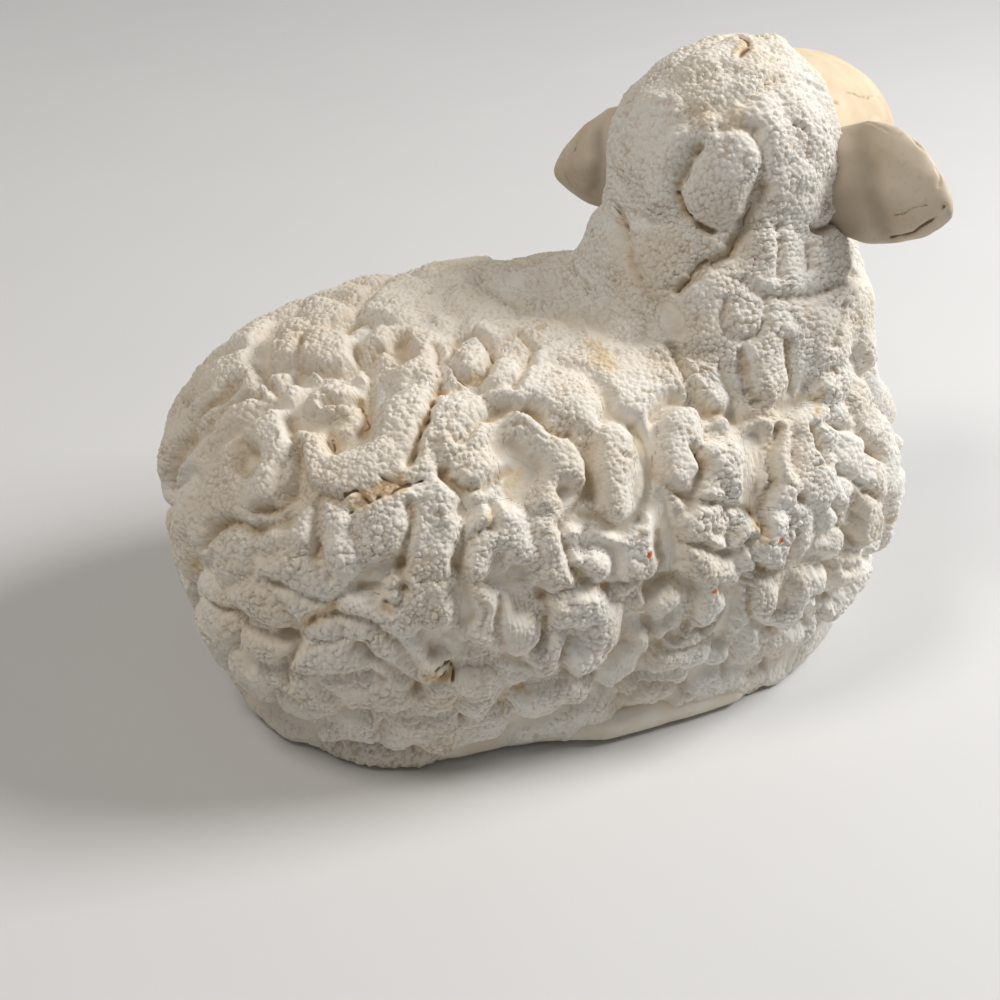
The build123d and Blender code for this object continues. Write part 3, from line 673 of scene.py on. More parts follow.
def warped(points, across):
    """Points pushed sideways along the skin by slow noise, so that pressed clay has uneven edges."""
    push = WARP_DEPTH * noise_push(points, WARP_SIZE, 11)
    push += FINE_WARP_DEPTH * noise_push(points, FINE_WARP_SIZE, 16)
    push -= across * (push * across).sum(axis=1)[:, None]
    return points + push


def label_curls():
    """The curl solid over each vertex, or -1."""
    starts = warped(skin, normals) + CURL_REACH * normals
    label = np.full(len(skin), -1, dtype=np.int64)
    for i in np.nonzero(skin[:, 2] > CURL_LOWEST)[0]:
        direction = Vector(-normals[i])
        _, facing, index, _ = curl_tree.ray_cast(Vector(starts[i]), direction, CURL_REACH + CURL_SLACK)
        if index is not None and facing.dot(direction) < 0:
            label[i] = index
    return label


def nearest(points, targets):
    """Distance to, and index of, the nearest target for each point."""
    tree = KDTree(len(targets))
    for i, point in enumerate(targets):
        tree.insert(Vector(point), i)
    tree.balance()
    found = [tree.find(Vector(p)) for p in points]
    return np.array([f[2] for f in found]), np.array([f[1] for f in found])


def widen_curls(label, reach):
    covered = np.nonzero(label >= 0)[0]
    bare = np.nonzero((label < 0) & (skin[:, 2] > CURL_LOWEST - 1))[0]
    gap, index = nearest(skin[bare], skin[covered])
    near = gap < reach * (1 + WIDENING_SWING * value_noise(skin[bare], WIDENING_SIZE, 91))
    label[bare[near]] = label[covered[index[near]]]


hit = label_curls()
solid_label = np.where(hit >= 0, curl_solid[hit], -1)
solid_node = {int(s): int(o) for s, o in zip(curl_solid, curl_owner)}
widen_curls(solid_label, CURL_WIDENING)
covered = solid_label >= 0


def closest_forms():
    """Distance of the skin to the body's, the neck's and the head's clay."""
    gaps = []
    for node in ("body_shell", "neck_collar", "head"):
        mesh = nodes[node].data
        corners = [v.co / MM for v in mesh.vertices]
        tree = BVHTree.FromPolygons(corners, [tuple(p.vertices) for p in mesh.polygons])
        gaps.append(np.array([tree.find_nearest(Vector(p))[3] for p in skin]))
    return np.stack([web.smooth(gap, FORM_ROUNDS) for gap in gaps])


form_gaps = closest_forms()
form = form_gaps.argmin(axis=0)


def find_rims():
    """Distance to where a curl ends, and how open the skin is beyond that rim."""
    differ = solid_label[web.a] != solid_label[web.b]
    to_hollow = differ & ((solid_label[web.a] < 0) | (solid_label[web.b] < 0))
    opening = np.zeros(len(skin))
    for ends in (web.a, web.b):
        opening[ends[to_hollow]] = 1
    rim = np.zeros(len(skin), dtype=bool)
    for ends in (web.a, web.b):
        rim[ends[differ]] = True
    index = np.nonzero(rim)[0]
    gap, closest = nearest(skin, skin[index])
    return web.smooth(gap, RIM_ROUNDS), web.smooth(opening[index][closest], OPENING_ROUNDS)


rim_gap, rim_opening = find_rims()

# --- slow relief, on the skin's own mesh

bare_face = ramp(in_head[:, 0] + FACE_EDGE_BEND * np.abs(in_head[:, 1]), *FACE_EDGE)
bare_face *= 1 - ramp(form_gaps[2], *HEAD_GAP)
upper = ramp(skin[:, 2], *NECK_RISE)
lumps = value_noise(skin, LUMP_SIZE, 41)
patches = value_noise(skin, PATCH_SIZE, 53)

lively = hashed(np.stack([solid_label, solid_label * 0 + 3, solid_label * 0 + 5], axis=1), 2)
ground = HOLLOW_LEVEL + (UPPER_GROUND - HOLLOW_LEVEL) * upper
curl_top = CURL_HEIGHT + (UPPER_TOP - CURL_HEIGHT) * upper + LIVELY_STEP * (lively - 0.5)
joined = np.clip(JOINED_MIDDLE + JOINED_SWING * value_noise(skin, JOINED_SIZE, 71), *JOINED_LIMITS)
joined = np.minimum(joined, 1 - OPENING_CUT * rim_opening)
share = np.clip(rim_gap / CURL_SHOULDER, 0, 1)
round_back = np.sqrt(1 - (1 - share) ** 2)
curl_height = ground + (curl_top - ground) * (joined + (1 - joined) * round_back)
hollow_height = ground + LUMP_DEPTH * lumps
hollow_height += (RIM_LIP + (1 - RIM_LIP) * upper) * np.exp(-rim_gap / RIM_LIP_REACH)
mound_height = (MOUND_HEIGHT + PATCH_DEPTH * patches) * (1 - UPPER_MOUND_CUT * upper)
hollow_height += mound_height * ramp(rim_gap, *MOUND_GAP)
height = np.where(covered, curl_height, hollow_height)
height += FOOT_SWELL * ramp(-skin[:, 2], *FOOT_BAND)
height *= 1 - bare_face
height = web.smooth(height, HEIGHT_ROUNDS)

smooth_hollow = ramp(-patches, *POLISHED_PATCHES) * (1 - upper) * (1 - ramp(rim_gap, *POLISHED_GAP))
polished = HOLLOW_POLISH * smooth_hollow * ramp(rim_gap, *POLISH_START)
graininess = np.where(covered, 1.0, 1 - polished) * (1 - bare_face)
graininess = web.smooth(graininess, GRAIN_ROUNDS)
underside = ramp(-normals[:, 2], *UNDERSIDE_TILT) * ramp(-skin[:, 2], *UNDERSIDE_BAND)
graininess *= 1 - underside

# --- fine relief, on the finer sheet

fine_skin = sheet.spread(skin)
fine_normals = unit(sheet.spread(normals))
fine_height = sheet.spread(height)
wool = sheet.spread(graininess)
bare = sheet.spread(bare_face)
fine_ground = sheet.spread(ground)


def photo_ray(x, y):
    """Where the camera stands, and the way from it through a pixel of the photograph."""
    turn = np.array(camera.matrix_world.to_3x3())
    half = math.tan(math.radians(FIELD_OF_VIEW) / 2)
    middle = PHOTO_SIDE / 2
    way = turn @ np.array([(x - middle) / middle * half, (middle - y) / middle * half, -1.0])
    return np.array(camera.matrix_world.translation) / MM, way


def on_level(x, y, level):
    eye, way = photo_ray(x, y)
    return eye + way * (level - eye[2]) / way[2]


def make_seen(points, faces, lift):
    """Finds the place of a surface that the camera sees at a pixel, less what the surface was lifted."""
    corners = [Vector(p) for p in points + lift]
    tree = BVHTree.FromPolygons(corners, [tuple(int(i) for i in f) for f in faces])

    def seen(x, y):
        eye, way = photo_ray(x, y)
        place, _, index, _ = tree.ray_cast(Vector(eye), Vector(way).normalized())
        return None if place is None else np.array(place) - lift[faces[index][0]]

    return seen


on_skin = make_seen(skin, quads, (SEEN_SHARE * height)[:, None] * normals)
wander = WANDER_DEPTH * noise_push(fine_skin, WANDER_SIZE, 81)
wander += FINE_WANDER_DEPTH * noise_push(fine_skin, FINE_WANDER_SIZE, 86)


def mark(pixels, width, seen, points, waver):
    """The points near a line drawn on the photograph, and 1 on it and less with the distance."""
    line = [p for p in (seen(x, y) for x, y in pixels) if p is not None]
    if not line:
        return np.zeros(0, dtype=np.int64), np.zeros(0)
    line = line * 2 if len(line) == 1 else line
    middle = np.mean(line, axis=0)
    reach = max(np.linalg.norm(p - middle) for p in line) + 3 * width + 1
    near = np.nonzero(((points - middle) ** 2).sum(axis=1) < reach ** 2)[0]
    places = points[near] + waver[near]
    gap = np.full(len(near), 1e3)
    for a, b in zip(line, line[1:]):
        along = b - a
        part = np.clip((places - a) @ along / max(along @ along, 1e-6), 0, 1)
        gap = np.minimum(gap, np.linalg.norm(places - a - part[:, None] * along, axis=1))
    return near, np.exp(-((gap / width) ** 2))


def line_field(pixels, width, waver=None):
    return mark(pixels, width, on_skin, fine_skin, (waver or min(1, width)) * wander)


def press(table, sign):
    """Raises or sinks the fine relief along the lines of a table."""
    for width, depth, *pixels in table:
        near, field = line_field(pixels, width)
        fine_height[near] += sign * depth * field


press(RIDGES, 1)
press(COIL_EDGES, -EDGE_GAIN)
press(GROOVES, -1)
for width, depth, *pixels in BASINS:
    near, field = line_field(pixels, width)
    field = np.clip(BASIN_GAIN * field, 0, 1)
    wanted = fine_ground[near] - depth
    fine_height[near] += field * np.minimum(wanted - fine_height[near], 0)
    wool[near] *= 1 - BASIN_POLISH * ramp(field, *BASIN_POLISHED)

for width, strength, *pixels in BRUSHED:
    near, field = line_field(pixels, width)
    start, end = (on_skin(x, y) for x, y in pixels)
    across = unit(np.cross(end - start, fine_normals[near]))
    stroke = ((fine_skin[near] + BRUSH_WANDER * wander[near] - start) * across).sum(axis=1)
    field = strength * np.clip(BRUSH_GAIN * field, 0, 1)
    fine_height[near] += BRUSH_DEPTH * field * np.sin(2 * math.pi * stroke / BRUSH_PITCH)
    wool[near] *= 1 - BRUSH_POLISH * field


def paint(table, waver):
    """The strongest of a table's marks at each vertex of the fine sheet, for stains, cracks and the
    painted shade along grooves.
    """
    total = np.zeros(len(fine_skin))
    for width, strength, *pixels in table:
        near, field = line_field(pixels, width, waver)
        total[near] = np.maximum(total[near], strength * field)
    return total


crack_breaks = ramp(value_noise(fine_skin, CRACK_BREAK_SIZE, 99), *CRACK_BREAKS)
dark = paint(CRACKS, waver=1.1) * crack_breaks
amber = paint(STAINS, waver=1.5)
orange = paint(SPECKS, waver=0.8)
# Coil edges and grooves, darkened in colour below as painted shade
seam = np.maximum(paint(COIL_EDGES, waver=1.0), paint(GROOVES, waver=1.0))
seam = ramp(seam / EDGE_SCALE, *EDGE_BAND)
fine_height -= CRACK_DEPTH * dark


def press_face():
    """Mouth, nostrils and lids, on the head's own axes."""
    local = (fine_skin - HEAD_MIDDLE) @ HEAD_AXES.T
    angle = np.degrees(np.arctan2(local[:, 2] + CHIN_DROP, local[:, 1]))
    swing = (angle + 90) / (90 - MOUTH_ANGLE)
    mouth = np.abs(local[:, 0] - NOSE_REACH * (MOUTH_PLACE - MOUTH_BEND * swing ** 2))
    inside = (np.abs(swing) < 1) & (local[:, 0] > 0)
    fine_height[:] -= np.where(inside, MOUTH_DEPTH * np.exp(-((mouth / MOUTH_WIDTH) ** 2)), 0)
    rim_height, rim_radius, rim_width = NOSTRIL_RIM
    for side in (NOSTRIL_ANGLE, 180 - NOSTRIL_ANGLE):
        miss = np.abs(local[:, 0] - NOSTRIL_PLACE * NOSE_REACH) + 0.25 * np.abs(angle - side)
        middle = fine_skin[np.where(local[:, 0] > 0, miss, 1e3).argmin()]
        gap = np.linalg.norm(fine_skin - middle, axis=1)
        fine_height[:] -= NOSTRIL_DEPTH * np.exp(-((gap / NOSTRIL_RADIUS) ** 4))
        fine_height[:] += rim_height * np.exp(-(((gap - rim_radius) / rim_width) ** 2))
    for node in ("eye_left", "eye_right"):
        middle = to_points(nodes[node].data).mean(axis=0)
        gap = np.linalg.norm(fine_skin - middle, axis=1)
        fine_height[:] += LID_HEIGHT * np.exp(-(((gap - LID_RADIUS) / LID_WIDTH) ** 2))


press_face()


def grains(points):
    """Packed pebbles: 1 on their tops and 0 in the crisp seams between them, at two sizes."""
    moved = points + GRAIN_WARP_DEPTH * noise_push(points, GRAIN_WARP_SIZE, 61)
    domes = []
    for size, seed in ((GRAIN_SIZE, 3), (KNOB_SIZE, 19)):
        first, second = cobbles(moved, size, seed)
        dome = np.clip(1 - (first / DOME_REACH) ** 2, 0, 1)
        domes.append(0.5 * dome + 0.5 * ramp(second - first, 0.0, SEAM_WIDTH))
    return domes


grain, knob = grains(fine_skin + fine_height[:, None] * fine_normals)
wool_level = WOOL_LEVEL + WOOL_SWING * value_noise(fine_skin, WOOL_SIZE, 101)
wool *= (1 - np.clip(2 * dark, 0, 1)) * wool_level
coarse = ramp(value_noise(fine_skin, COARSE_SIZE, 57), *COARSE_BAND)
small_lumps = value_noise(fine_skin, SMALL_LUMP_SIZE, 47)
pebbled = (1 - COARSE_CUT * coarse) * GRAIN_HEIGHT * grain + coarse * KNOB_HEIGHT * knob
slow = sheet.web.smooth(fine_height, SLOW_ROUNDS)
mid = sheet.web.smooth(fine_height, MID_ROUNDS)
woolly = pebbled + SMALL_LUMP_HEIGHT * small_lumps - GRAIN_SINK
fine_height = fine_height + wool * woolly + SMOOTH_LUMP_HEIGHT * small_lumps * (1 - wool)


def soft_floor(values, floor, softness):
    return floor + softness * np.logaddexp(0, (values - floor) / softness)


fine_height = np.where(bare > 0.5, fine_height, soft_floor(fine_height, 0.0, FLOOR_SOFTNESS))

# Painted shade: deep places and the coil edges and grooves are darkened in colour; the same mask also
# places amber stains in some hollows
shade_and_stain = np.maximum(ramp(slow - mid, *HOLLOW_SHADE_DEPTH), GROOVE_SHADE * seam)
# Painted shade: the rear and the upward-facing wool are darkened and warmed in colour
painted_warm_shade = REAR_SHADE * ramp(-fine_skin[:, 0], *REAR_SHADE_BAND)
painted_warm_shade += TOP_SHADE * ramp(fine_normals[:, 2], *TOP_SHADE_TILT)
# Painted shade: the seams between the pebbles are darkened in colour
pit_shade = wool * (1 - (grain * (1 - 0.5 * coarse) + 0.5 * coarse * knob))

surface = fine_skin + fine_height[:, None] * fine_normals


def slab_shown(points):
    """1 where the photograph shows the bare slab under the wool, else 0."""
    shown = np.zeros(len(points))
    for ends in SLAB_SHOWN:
        a, b = (on_level(x, y, SLAB_SHOWN_LEVEL)[:2] for x, y in ends)
        along = b - a
        part = np.clip((points[:, :2] - a) @ along / (along @ along), 0, 1)
        gap = np.linalg.norm(points[:, :2] - a - part[:, None] * along, axis=1)
        shown = np.maximum(shown, 1 - ramp(gap, *SLAB_SHOWN_EDGE))
    return shown


def droop(points):
    """Lets the lowest wool hang over the slab, except where the photograph shows the slab."""
    low = ramp(-points[:, 2], *SKIRT_BAND)
    uneven = 1 + SKIRT_UNEVENNESS * value_noise(points, SKIRT_SIZE, 97)
    return SKIRT_DROP * low * uneven * (1 - slab_shown(points))


surface[:, 2] -= droop(fine_skin)
surface[:, 2] = np.maximum(surface[:, 2], LOWEST_POINT)
skin_low = skin - CRUST_BED * normals

attributes = {"wool": wool, "shade_and_stain": shade_and_stain, "pit_shade": pit_shade, "dark": dark, "amber": amber, "orange": orange,
              "bare": bare, "painted_warm_shade": painted_warm_shade}

# --- pieces

GRAINY_LEAST = 0.12
BURIED_GAP = 1.2
THIN_START = 1.03
THIN_SHARE = 0.85
WALL_CORNERS = 5

corner_gap = np.where(solid_label[quads] >= 0, rim_gap[quads], -1)
strongest = quads[np.arange(len(quads)), corner_gap.argmax(axis=1)]
quad_node = np.array([solid_node[int(s)] if s >= 0 else -1 for s in solid_label[strongest]])
quad_form = form[quads[:, 0]]


def new_mesh(name, points, polygons, values):
    """A mesh from arrays of polygons with the same number of corners each, with values per vertex."""
    mesh = bpy.data.meshes.new(name)
    mesh.vertices.add(len(points))
    mesh.vertices.foreach_set("co", (points * MM).ravel())
    corners = np.concatenate([p.ravel() for p in polygons])
    counts = np.concatenate([np.full(len(p), p.shape[1]) for p in polygons])
    mesh.loops.add(len(corners))
    mesh.loops.foreach_set("vertex_index", corners)
    mesh.polygons.add(len(counts))
    mesh.polygons.foreach_set("loop_start", np.concatenate([[0], np.cumsum(counts)[:-1]]))
    mesh.update(calc_edges=True)
    mesh.validate()
    mesh.polygons.foreach_set("use_smooth", counts != WALL_CORNERS)
    for key, numbers in values.items():
        layer = mesh.attributes.new(key, "FLOAT", "POINT")
        layer.data.foreach_set("value", numbers)
    return mesh


def crust_piece(name, chosen):
    """A closed patch of wool: fine outside, plain inside, and a wall round it."""
    outer = sheet.quads[chosen].reshape(-1, 4)
    inner = quads[chosen]
    used, at = np.unique(outer, return_inverse=True)
    low, low_at = np.unique(inner, return_inverse=True)
    place = np.full(len(fine_skin), -1)
    place[used] = np.arange(len(used))
    low_place = np.full(len(skin), -1)
    low_place[low] = np.arange(len(low)) + len(used)
    sides = sheet.sides[chosen].ravel()
    counts = np.bincount(sides, minlength=len(web.a))
    edge = counts[sides] == 1
    start = inner.ravel()[edge]
    end = np.roll(inner, -1, axis=1).ravel()[edge]
    middle = sides[edge] + len(skin)
    wall = np.stack([place[end], place[middle], place[start], low_place[start], low_place[end]], axis=1)
    polygons = [at.reshape(outer.shape), low_at.reshape(inner.shape)[:, ::-1] + len(used), wall]
    points = np.concatenate([surface[used], skin_low[low]])
    values = {key: np.concatenate([numbers[used], numbers[low]]) for key, numbers in attributes.items()}
    return new_object(name, new_mesh(name, points, polygons, values))


form_cover = sheet.spread(covered.astype(float))
fine_underside = sheet.spread(underside)
core = np.where((form_cover > 0.01)[:, None], fine_skin - CORE_SINK * fine_normals, surface)


def form_piece(name, number):
    """The clay under the wool: fine where hollows show it, plain under the curls."""
    chosen = np.nonzero(quad_form == number)[0]
    corners = quads[chosen]
    grainy = (~covered[corners]).any(axis=1) & (np.maximum(wool, bare)[corners].max(axis=1) > GRAINY_LEAST)
    refined, plain = chosen[grainy], chosen[~grainy]
    split = np.zeros(len(web.a), dtype=bool)
    split[sheet.sides[refined]] = True
    touched = split[sheet.sides[plain]].any(axis=1)
    ragged = {}
    for quad in plain[touched]:
        corners = []
        for corner, side in zip(quads[quad], sheet.sides[quad]):
            corners.append(corner)
            if split[side]:
                corners.append(side + len(skin))
        ragged.setdefault(len(corners), []).append(corners)
    polygons = [sheet.quads[refined].reshape(-1, 4), quads[plain[~touched]]]
    polygons += [np.array(rows) for rows in ragged.values()]
    used = np.unique(np.concatenate([p.ravel() for p in polygons]))
    place = np.full(len(fine_skin), -1)
    place[used] = np.arange(len(used))
    values = {key: numbers[used] for key, numbers in attributes.items()}
    mesh = new_mesh(name, core[used], [place[p] for p in polygons], values)
    bm = bmesh.new()
    bm.from_mesh(mesh)
    filled = bmesh.ops.holes_fill(bm, edges=[e for e in bm.edges if e.is_boundary], sides=0)["faces"]
    for face in bm.faces:
        face.smooth = True
    for face in bmesh.ops.triangulate(bm, faces=filled)["faces"]:
        face.smooth = False
    bm.to_mesh(mesh)
    bm.free()
    obj = new_object(name, mesh)
    buried = form_cover[used] >= 1
    buried &= np.where(used < len(skin), rim_gap[np.minimum(used, len(skin) - 1)] > BURIED_GAP, False)
    buried |= fine_underside[used] > 0.99
    hidden = obj.vertex_groups.new(name="hidden")
    hidden.add([int(i) for i in np.nonzero(buried)[0]], 1.0, "REPLACE")
    thin = obj.modifiers.new("thin", "DECIMATE")
    thin.vertex_group = "hidden"
    thin.ratio = min(1.0, THIN_START - THIN_SHARE * buried.mean())
    return new_object(name, applied(obj))


def add_piece(obj, material, slot, *replaced):
    obj.data.materials.clear()
    obj.data.materials.append(material)
    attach(obj, "root")
    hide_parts(*replaced)


# --- materials

# Sockets of a mix node that carry colours
COLOUR_A = 6
COLOUR_B = 7
COLOUR_RESULT = 2


class Nodes:
    """Short calls for building a node tree."""

    def __init__(self, name):
        self.material = bpy.data.materials.new(name)
        self.material.use_nodes = True
        self.tree = self.material.node_tree
        self.tree.nodes.clear()

    def node(self, kind, **settings):
        made = self.tree.nodes.new(kind)
        for key, value in settings.items():
            setattr(made, key, value)
        return made

    def link(self, source, target):
        self.tree.links.new(source, target)

    def value(self, source, socket):
        if isinstance(source, (int, float)):
            socket.default_value = source
        elif isinstance(source, tuple):
            socket.default_value = (*source, 1.0)[: len(socket.default_value)]
        else:
            self.link(source, socket)

    def attribute(self, name):
        return self.node("ShaderNodeAttribute", attribute_name=name).outputs["Fac"]

    def place(self):
        return self.node("ShaderNodeTexCoord").outputs["Object"]

    def noise(self, size, detail=2.0, rough=0.5):
        made = self.node("ShaderNodeTexNoise")
        made.inputs["Scale"].default_value = 1 / (size * MM)
        made.inputs["Detail"].default_value = detail
        made.inputs["Roughness"].default_value = rough
        self.link(self.place(), made.inputs["Vector"])
        return made.outputs["Fac"]

    def cells(self, size, place):
        made = self.node("ShaderNodeTexVoronoi")
        made.inputs["Scale"].default_value = 1 / (size * MM)
        self.link(place, made.inputs["Vector"])
        return made.outputs["Distance"]

    def bent(self, size, depth):
        """The place in the object, pushed about by noise."""
        push = self.node("ShaderNodeTexNoise")
        push.inputs["Scale"].default_value = 1 / (size * MM)
        self.link(self.place(), push.inputs["Vector"])
        centred = self.node("ShaderNodeVectorMath", operation="SUBTRACT")
        self.link(push.outputs["Color"], centred.inputs[0])
        centred.inputs[1].default_value = (0.5, 0.5, 0.5)
        scaled = self.node("ShaderNodeVectorMath", operation="SCALE")
        self.link(centred.outputs["Vector"], scaled.inputs[0])
        scaled.inputs["Scale"].default_value = depth * MM
        total = self.node("ShaderNodeVectorMath", operation="ADD")
        self.link(self.place(), total.inputs[0])
        self.link(scaled.outputs["Vector"], total.inputs[1])
        return total.outputs["Vector"]

    def ramp(self, source, low, high, to_low=0.0, to_high=1.0):
        made = self.node("ShaderNodeMapRange", clamp=True)
        made.interpolation_type = "SMOOTHSTEP"
        limits = {"From Min": low, "From Max": high, "To Min": to_low, "To Max": to_high}
        for key, value in limits.items():
            made.inputs[key].default_value = value
        self.value(source, made.inputs["Value"])
        return made.outputs["Result"]

    def math(self, operation, a, b):
        made = self.node("ShaderNodeMath", operation=operation)
        self.value(a, made.inputs[0])
        self.value(b, made.inputs[1])
        return made.outputs["Value"]

    def mix(self, share, a, b):
        made = self.node("ShaderNodeMix", data_type="RGBA")
        self.value(share, made.inputs["Factor"])
        self.value(a, made.inputs[COLOUR_A])
        self.value(b, made.inputs[COLOUR_B])
        return made.outputs[COLOUR_RESULT]

    def bump(self, height, strength, distance, onto=None):
        made = self.node("ShaderNodeBump")
        made.inputs["Strength"].default_value = strength
        made.inputs["Distance"].default_value = distance * MM
        self.link(height, made.inputs["Height"])
        if onto is not None:
            self.link(onto, made.inputs["Normal"])
        return made.outputs["Normal"]

    def finish(self, colour, roughness, specular, normal=None):
        shader = self.node("ShaderNodeBsdfPrincipled")
        out = self.node("ShaderNodeOutputMaterial")
        self.value(colour, shader.inputs["Base Color"])
        self.value(roughness, shader.inputs["Roughness"])
        shader.inputs["Specular IOR Level"].default_value = specular
        if normal is not None:
            self.link(normal, shader.inputs["Normal"])
        self.link(shader.outputs["BSDF"], out.inputs["Surface"])
        return self.material


WOOL_LIGHT = (0.790, 0.765, 0.715)
WOOL_WARM = (0.740, 0.680, 0.590)
# Painted shade colour for the seams between the pebbles
PIT_SHADE_COLOUR = (0.520, 0.420, 0.300)
# Painted shade colour for the rear and the top
WARM_SHADE_COLOUR = (0.720, 0.620, 0.480)
SLIP = (0.740, 0.670, 0.555)
# Painted shade colour for hollows and grooves
HOLLOW_SHADE_COLOUR = (0.510, 0.395, 0.250)
DIRT = (0.150, 0.088, 0.045)
HALO = (0.640, 0.500, 0.310)
AMBER = (0.480, 0.300, 0.120)
ORANGE = (0.640, 0.160, 0.045)
FACE_LIGHT = (0.720, 0.600, 0.430)
FACE_DARK = (0.610, 0.480, 0.320)
EAR_LIGHT = (0.650, 0.560, 0.445)
EAR_DARK = (0.540, 0.445, 0.330)
EYE_LIGHT = (0.120, 0.085, 0.060)
EYE_DARK = (0.080, 0.055, 0.040)


def fleece_material():
    n = Nodes("fleece")
    wool, shade_and_stain, pit_shade = (n.attribute(a) for a in ("wool", "shade_and_stain", "pit_shade"))
    dark, amber, orange, bare = (n.attribute(a) for a in ("dark", "amber", "orange", "bare"))
    painted_warm_shade = n.math("MULTIPLY", n.attribute("painted_warm_shade"), n.ramp(n.noise(13, 3), 0.3, 0.7, 0.35, 0.9))
    white = n.mix(n.ramp(n.noise(16, 3), 0.42, 0.68), WOOL_LIGHT, WOOL_WARM)
    slip = n.mix(n.ramp(n.noise(5, 3), 0.35, 0.7), SLIP, WOOL_LIGHT)
    colour = n.mix(n.ramp(wool, 0.1, 0.6), slip, white)
    # Painted warm shade on the rear and top
    colour = n.mix(n.math("MULTIPLY", painted_warm_shade, 0.6), colour, WARM_SHADE_COLOUR)
    # Painted shade in the seams between the pebbles
    colour = n.mix(n.math("MULTIPLY", n.ramp(pit_shade, 0.2, 0.9), 0.8), colour, PIT_SHADE_COLOUR)
    # Painted shade in hollows and grooves
    hollow_shade = n.math("MULTIPLY", shade_and_stain, n.ramp(n.noise(9, 3), 0.40, 0.62, 0.30, 0.85))
    colour = n.mix(hollow_shade, colour, HOLLOW_SHADE_COLOUR)
    # Amber stains in some of the hollows
    stray = n.math("MULTIPLY", n.ramp(n.noise(6, 3), 0.60, 0.70), shade_and_stain)
    colour = n.mix(n.math("MULTIPLY", stray, 0.55), colour, AMBER)
    patchy = n.math("MULTIPLY", amber, n.ramp(n.noise(2.5, 3, 0.6), 0.3, 0.7, 0.6, 1.3))
    colour = n.mix(n.ramp(patchy, 0.08, 0.75, 0.0, 0.75), colour, HALO)
    colour = n.mix(n.ramp(patchy, 0.60, 1.10, 0.0, 0.7), colour, AMBER)
    face = n.mix(n.ramp(n.noise(11, 4, 0.55), 0.3, 0.7), FACE_LIGHT, FACE_DARK)
    colour = n.mix(n.ramp(bare, 0.35, 0.7), colour, face)
    colour = n.mix(n.ramp(dark, 0.35, 0.8), colour, DIRT)
    colour = n.mix(n.ramp(orange, 0.3, 0.7), colour, ORANGE)
    fine = n.cells(0.65, n.bent(1.5, 0.5))
    dome = n.math("SUBTRACT", 1.0, n.math("MULTIPLY", fine, fine))
    normal = n.bump(n.math("MULTIPLY", dome, wool), 0.6, 0.22)
    normal = n.bump(n.noise(0.35, 3, 0.6), 0.25, 0.12, onto=normal)
    return n.finish(colour, n.ramp(wool, 0.0, 1.0, 0.6, 0.92), 0.25, normal)


def smooth_clay_material(name, light, dark):
    n = Nodes(name)
    colour = n.mix(n.ramp(n.noise(12, 4, 0.55), 0.3, 0.7), light, dark)
    mottle = n.ramp(n.noise(1.4, 3), 0.55, 0.75, 0.0, 0.35)
    colour = n.mix(mottle, colour, tuple(0.7 * c for c in dark))
    # Painted shade at the ears' roots and in their dents
    colour = n.mix(n.math("MULTIPLY", n.attribute("root"), 0.75), colour, tuple(0.62 * c for c in dark))
    normal = n.bump(n.noise(0.9, 3), 0.12, 0.12)
    colour = n.mix(n.ramp(n.attribute("dark"), 0.3, 0.8), colour, DIRT)
    return n.finish(colour, 0.55, 0.4, normal)


fleece = fleece_material()
ear_clay = smooth_clay_material("ear_clay", EAR_LIGHT, EAR_DARK)
eye_clay = smooth_clay_material("eye_clay", EYE_LIGHT, EYE_DARK)

# --- curls and the forms under them

for index, name in enumerate(curl_names):
    piece = crust_piece("fleece_" + name[6:], np.nonzero(quad_node == index)[0])
    add_piece(piece, fleece, "white_wool_clay", name)

add_piece(form_piece("body_form", 0), fleece, "cream_clay", "body_shell")
add_piece(form_piece("neck_form", 1), fleece, "cream_clay", "neck_collar")
add_piece(form_piece("head_form", 2), fleece, "cream_clay", "head")


def smooth_mesh(node, voxel, rounds):
    """A CAD node as smoothed clay: its mesh, points and normals."""
    mesh = remeshed(nodes[node].data.copy(), voxel)
    relaxed(mesh, rounds)
    points = to_points(mesh)
    outward = np.empty(len(points) * 3)
    mesh.vertex_normals.foreach_get("vector", outward)
    mesh.shade_smooth()
    return mesh, points, outward.reshape(-1, 3)


def put_values(mesh, points, values):
    mesh.vertices.foreach_set("co", (points * MM).ravel())
    for key, numbers in values.items():
        layer = mesh.attributes.new(key, "FLOAT", "POINT")
        layer.data.foreach_set("value", numbers)


def smooth_piece(name, node, voxel, rounds, wobble, seed):
    mesh, points, outward = smooth_mesh(node, voxel, rounds)
    push = wobble * value_noise(points, WOBBLE_SIZE, seed)
    push += FINE_WOBBLE_SHARE * wobble * value_noise(points, FINE_WOBBLE_SIZE, seed + 1)
    aside = np.abs((points - HEAD_MIDDLE) @ HEAD_AXES[1])
    # Painted shade: darker towards the head's middle, so at the ears' roots and over the eyes, and along
    # the ear dents
    root = EAR_ROOT_SHADE * (1 - ramp(aside, *EAR_ROOT))
    dark_lines = np.zeros(len(points))
    seen = make_seen(points, to_quads(mesh), 0 * points)
    waver = EAR_WANDER_DEPTH * noise_push(points, EAR_WANDER_SIZE, seed + 2)
    for width, depth, *pixels in EAR_DENTS:
        near, field = mark(pixels, width, seen, points, waver)
        push[near] -= depth * field
        root[near] = np.maximum(root[near], field)
    for width, strength, *pixels in EAR_CRACKS:
        near, field = mark(pixels, width, seen, points, waver)
        push[near] -= EAR_CRACK_DEPTH * strength * field
        dark_lines[near] = np.maximum(dark_lines[near], strength * field)
    dark_lines *= ramp(value_noise(points, EAR_CRACK_BREAK_SIZE, seed + 7), *EAR_CRACK_BREAKS)
    points += push[:, None] * outward
    put_values(mesh, points, {"root": root, "dark": dark_lines})
    return new_object(name, mesh)


